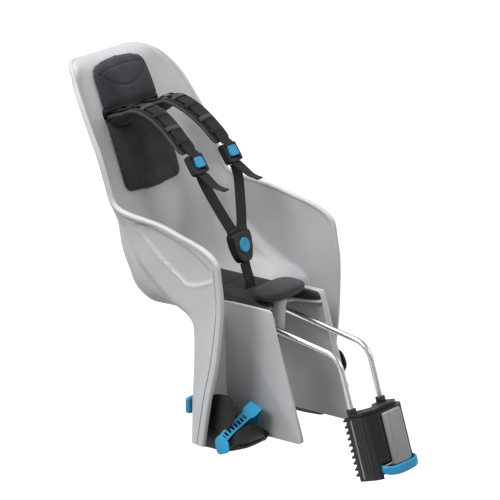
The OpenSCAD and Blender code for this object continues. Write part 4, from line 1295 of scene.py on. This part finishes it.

# clamp housing: cover, painted highlights along the side seams, collars and lever

# places on the clamp: u forward, v sideways and w up the seat tube, which leans back
clampLook = {"lean": 16.4, "halfWidth": 52.0, "pinU": 34.0, "pinW": -38.0, "rodU": 8.0, "rodV": 41.0}
tubePlace = turn(-clampLook["lean"], "Y")


def onTube(u, v, w):
    return tubePlace @ Vector((u, v, w))


# Cover plate, crowned, with rounded ends
coverRings = []
coverHalf = [(56.6, 23.6), (59.0, 23.6), (61.8, 22.6), (63.4, 20.0), (64.4, 15.0), (65.0, 8.0), (65.2, 0.0)]
for w, inset in ((-37.4, 3.0), (-36.8, 1.0), (-35.0, 0.0), (0.0, 0.0), (51.0, 0.0), (52.8, 1.0), (53.6, 3.0)):
    half = [(56.6 + (u - 56.6) * (1 - inset / 8.6 * 0.55), v - inset * 0.8 if v else 0.0) for u, v in coverHalf]
    ring = [onTube(u, v, w) for u, v in half] + [onTube(u, -v, w) for u, v in reversed(half[:-1])]
    coverRings.append(ring)
cover = loft("clampCover", coverRings, greyNylon, body="clamp", smoothAngle=40)
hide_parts("bracket_cover")
# shallow frame round the cover's field
frameLine = [(-31, 12), (-31, -12), (-28, -15.5), (46, -15.5), (49, -12), (49, 12), (46, 15.5), (-28, 15.5), (-31, 12)]
field = smoothLine([onTube(64.05 + 0.9 * (1 - (abs(v) / 18.5) ** 2), v, w) for w, v in frameLine], 4)
sweptBand("coverFieldRim", field, 1.5, 1.2, greyNylon, body="clamp", across=onTube(0, 0.7, 0.7), power=2.4, count=8)

for sideName, sign in sides:
    # a grey strip along each side seam of the black housing: painted highlight of the seam's edge
    strip = [onTube(11, sign * 52.1, w) for w in range(-52, 55, 8)]
    sweptBand("clampSeam" + sideName, strip, 3.4, 1.5, greyNylon, body="clamp", across=onTube(1, 0, 0), power=3,
              count=10)
    for k, u in enumerate((20, 27, 34)):
        flute = [onTube(u, sign * 52.0, w) for w in range(-48, 49, 8)]
        sweptBand("clampFlute" + sideName + str(k), flute, 2.6, 1.3, blackNylon, body="clamp", across=onTube(1, 0, 0),
                  power=2.4, count=8)
    ringBody("rodCollar" + sideName, 5.2, 8.6, 61.4, 70.0,
             tubePlace @ shift(clampLook["rodU"], sign * clampLook["rodV"], 0), blackNylon, body="clamp")

# Quick-release lever: a band from pin to pin round the front of the housing
leverPath = [(34, -39.5, -38), (43, -40.5, -39.5), (52, -39.8, -42), (59.5, -35, -44.5), (64, -25, -46),
             (65.4, -12, -46.6), (65.7, 0, -46.6)]
leverPath = leverPath + [(u, -v, w) for u, v, w in reversed(leverPath[:-1])]
leverLine = smoothLine([onTube(*p) for p in leverPath], 8)
lever = sweptBand("releaseLever", leverLine, lambda t: 13.5 + 3.5 * math.sin(math.pi * t) ** 2,
                  lambda t: 7.0 - 1.2 * math.sin(math.pi * t), blueAcetal,
                  body="lever", across=onTube(0, 0, 1), power=4, count=28)
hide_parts("release_lever")
for sign in (-1, 1):
    ringBody("leverHub" + ("Left" if sign > 0 else "Right"), 2.3, 7.4, -4.0, 4.0,
             tubePlace @ shift(34, sign * 39.5, -38) @ turn(90, "X"), blueAcetal, body="lever")
for k in range(7):
    v = -18 + 6 * k
    bar = [onTube(65.7 + 3.0 - 0.0026 * v * v, v, w) for w in (-52, -49, -46, -43, -40)]
    sweptBand("leverGrip" + str(k), bar, 2.2, 1.3, blueAcetal, body="lever", across=onTube(0, 1, 0), power=2.4, count=8)
print("clamp housing made")

# catches of the footrests

catchLook = {"x": -278.0, "thick": 10.6, "in": 115.8, "out": 165.5, "low": 41.0, "high": 70.5}
for sideName, sign in sides:
    low = sideName.lower()
    look = catchLook
    rings = []
    middle, half = (look["low"] + look["high"]) / 2, (look["high"] - look["low"]) / 2
    for y, inset in ((look["in"], 2.5), (look["in"] + 1.0, 0.8), (look["in"] + 3.0, 0), (look["out"] - 12, 0),
                     (look["out"] - 3.0, 0.4), (look["out"] - 1.0, 1.4), (look["out"], 3.4)):
        swell = 1.2 * smoothStep((y - look["out"] + 18) / 12)
        ring = []
        for k in range(32):
            a = 2 * math.pi * k / 32
            u = (look["thick"] / 2 - inset * 0.6) * squarish(math.cos(a), 0.4)
            v = (half - inset) * squarish(math.sin(a), 0.4)
            ring.append(Vector((look["x"] + look["thick"] / 2 + u - swell * 0.2, sign * y, middle + v)))
        rings.append(ring)
    catch = loft("footrestCatch" + sideName, rings, blueAcetal, body="foot_key_" + low, smoothAngle=45)
    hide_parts("footrest_release_" + low)
    for k in range(4):
        y = look["out"] - 5 - 4 * k
        rib = [Vector((look["x"] - 0.2, sign * y, z)) for z in (46, 51, 56, 61, 66)]
        sweptBand("catchGrip" + sideName + str(k), rib, 1.8, 1.4, blueAcetal, body="foot_key_" + low, across=(0, 1, 0),
                  power=2.4, count=8)
print("footrest catches made")
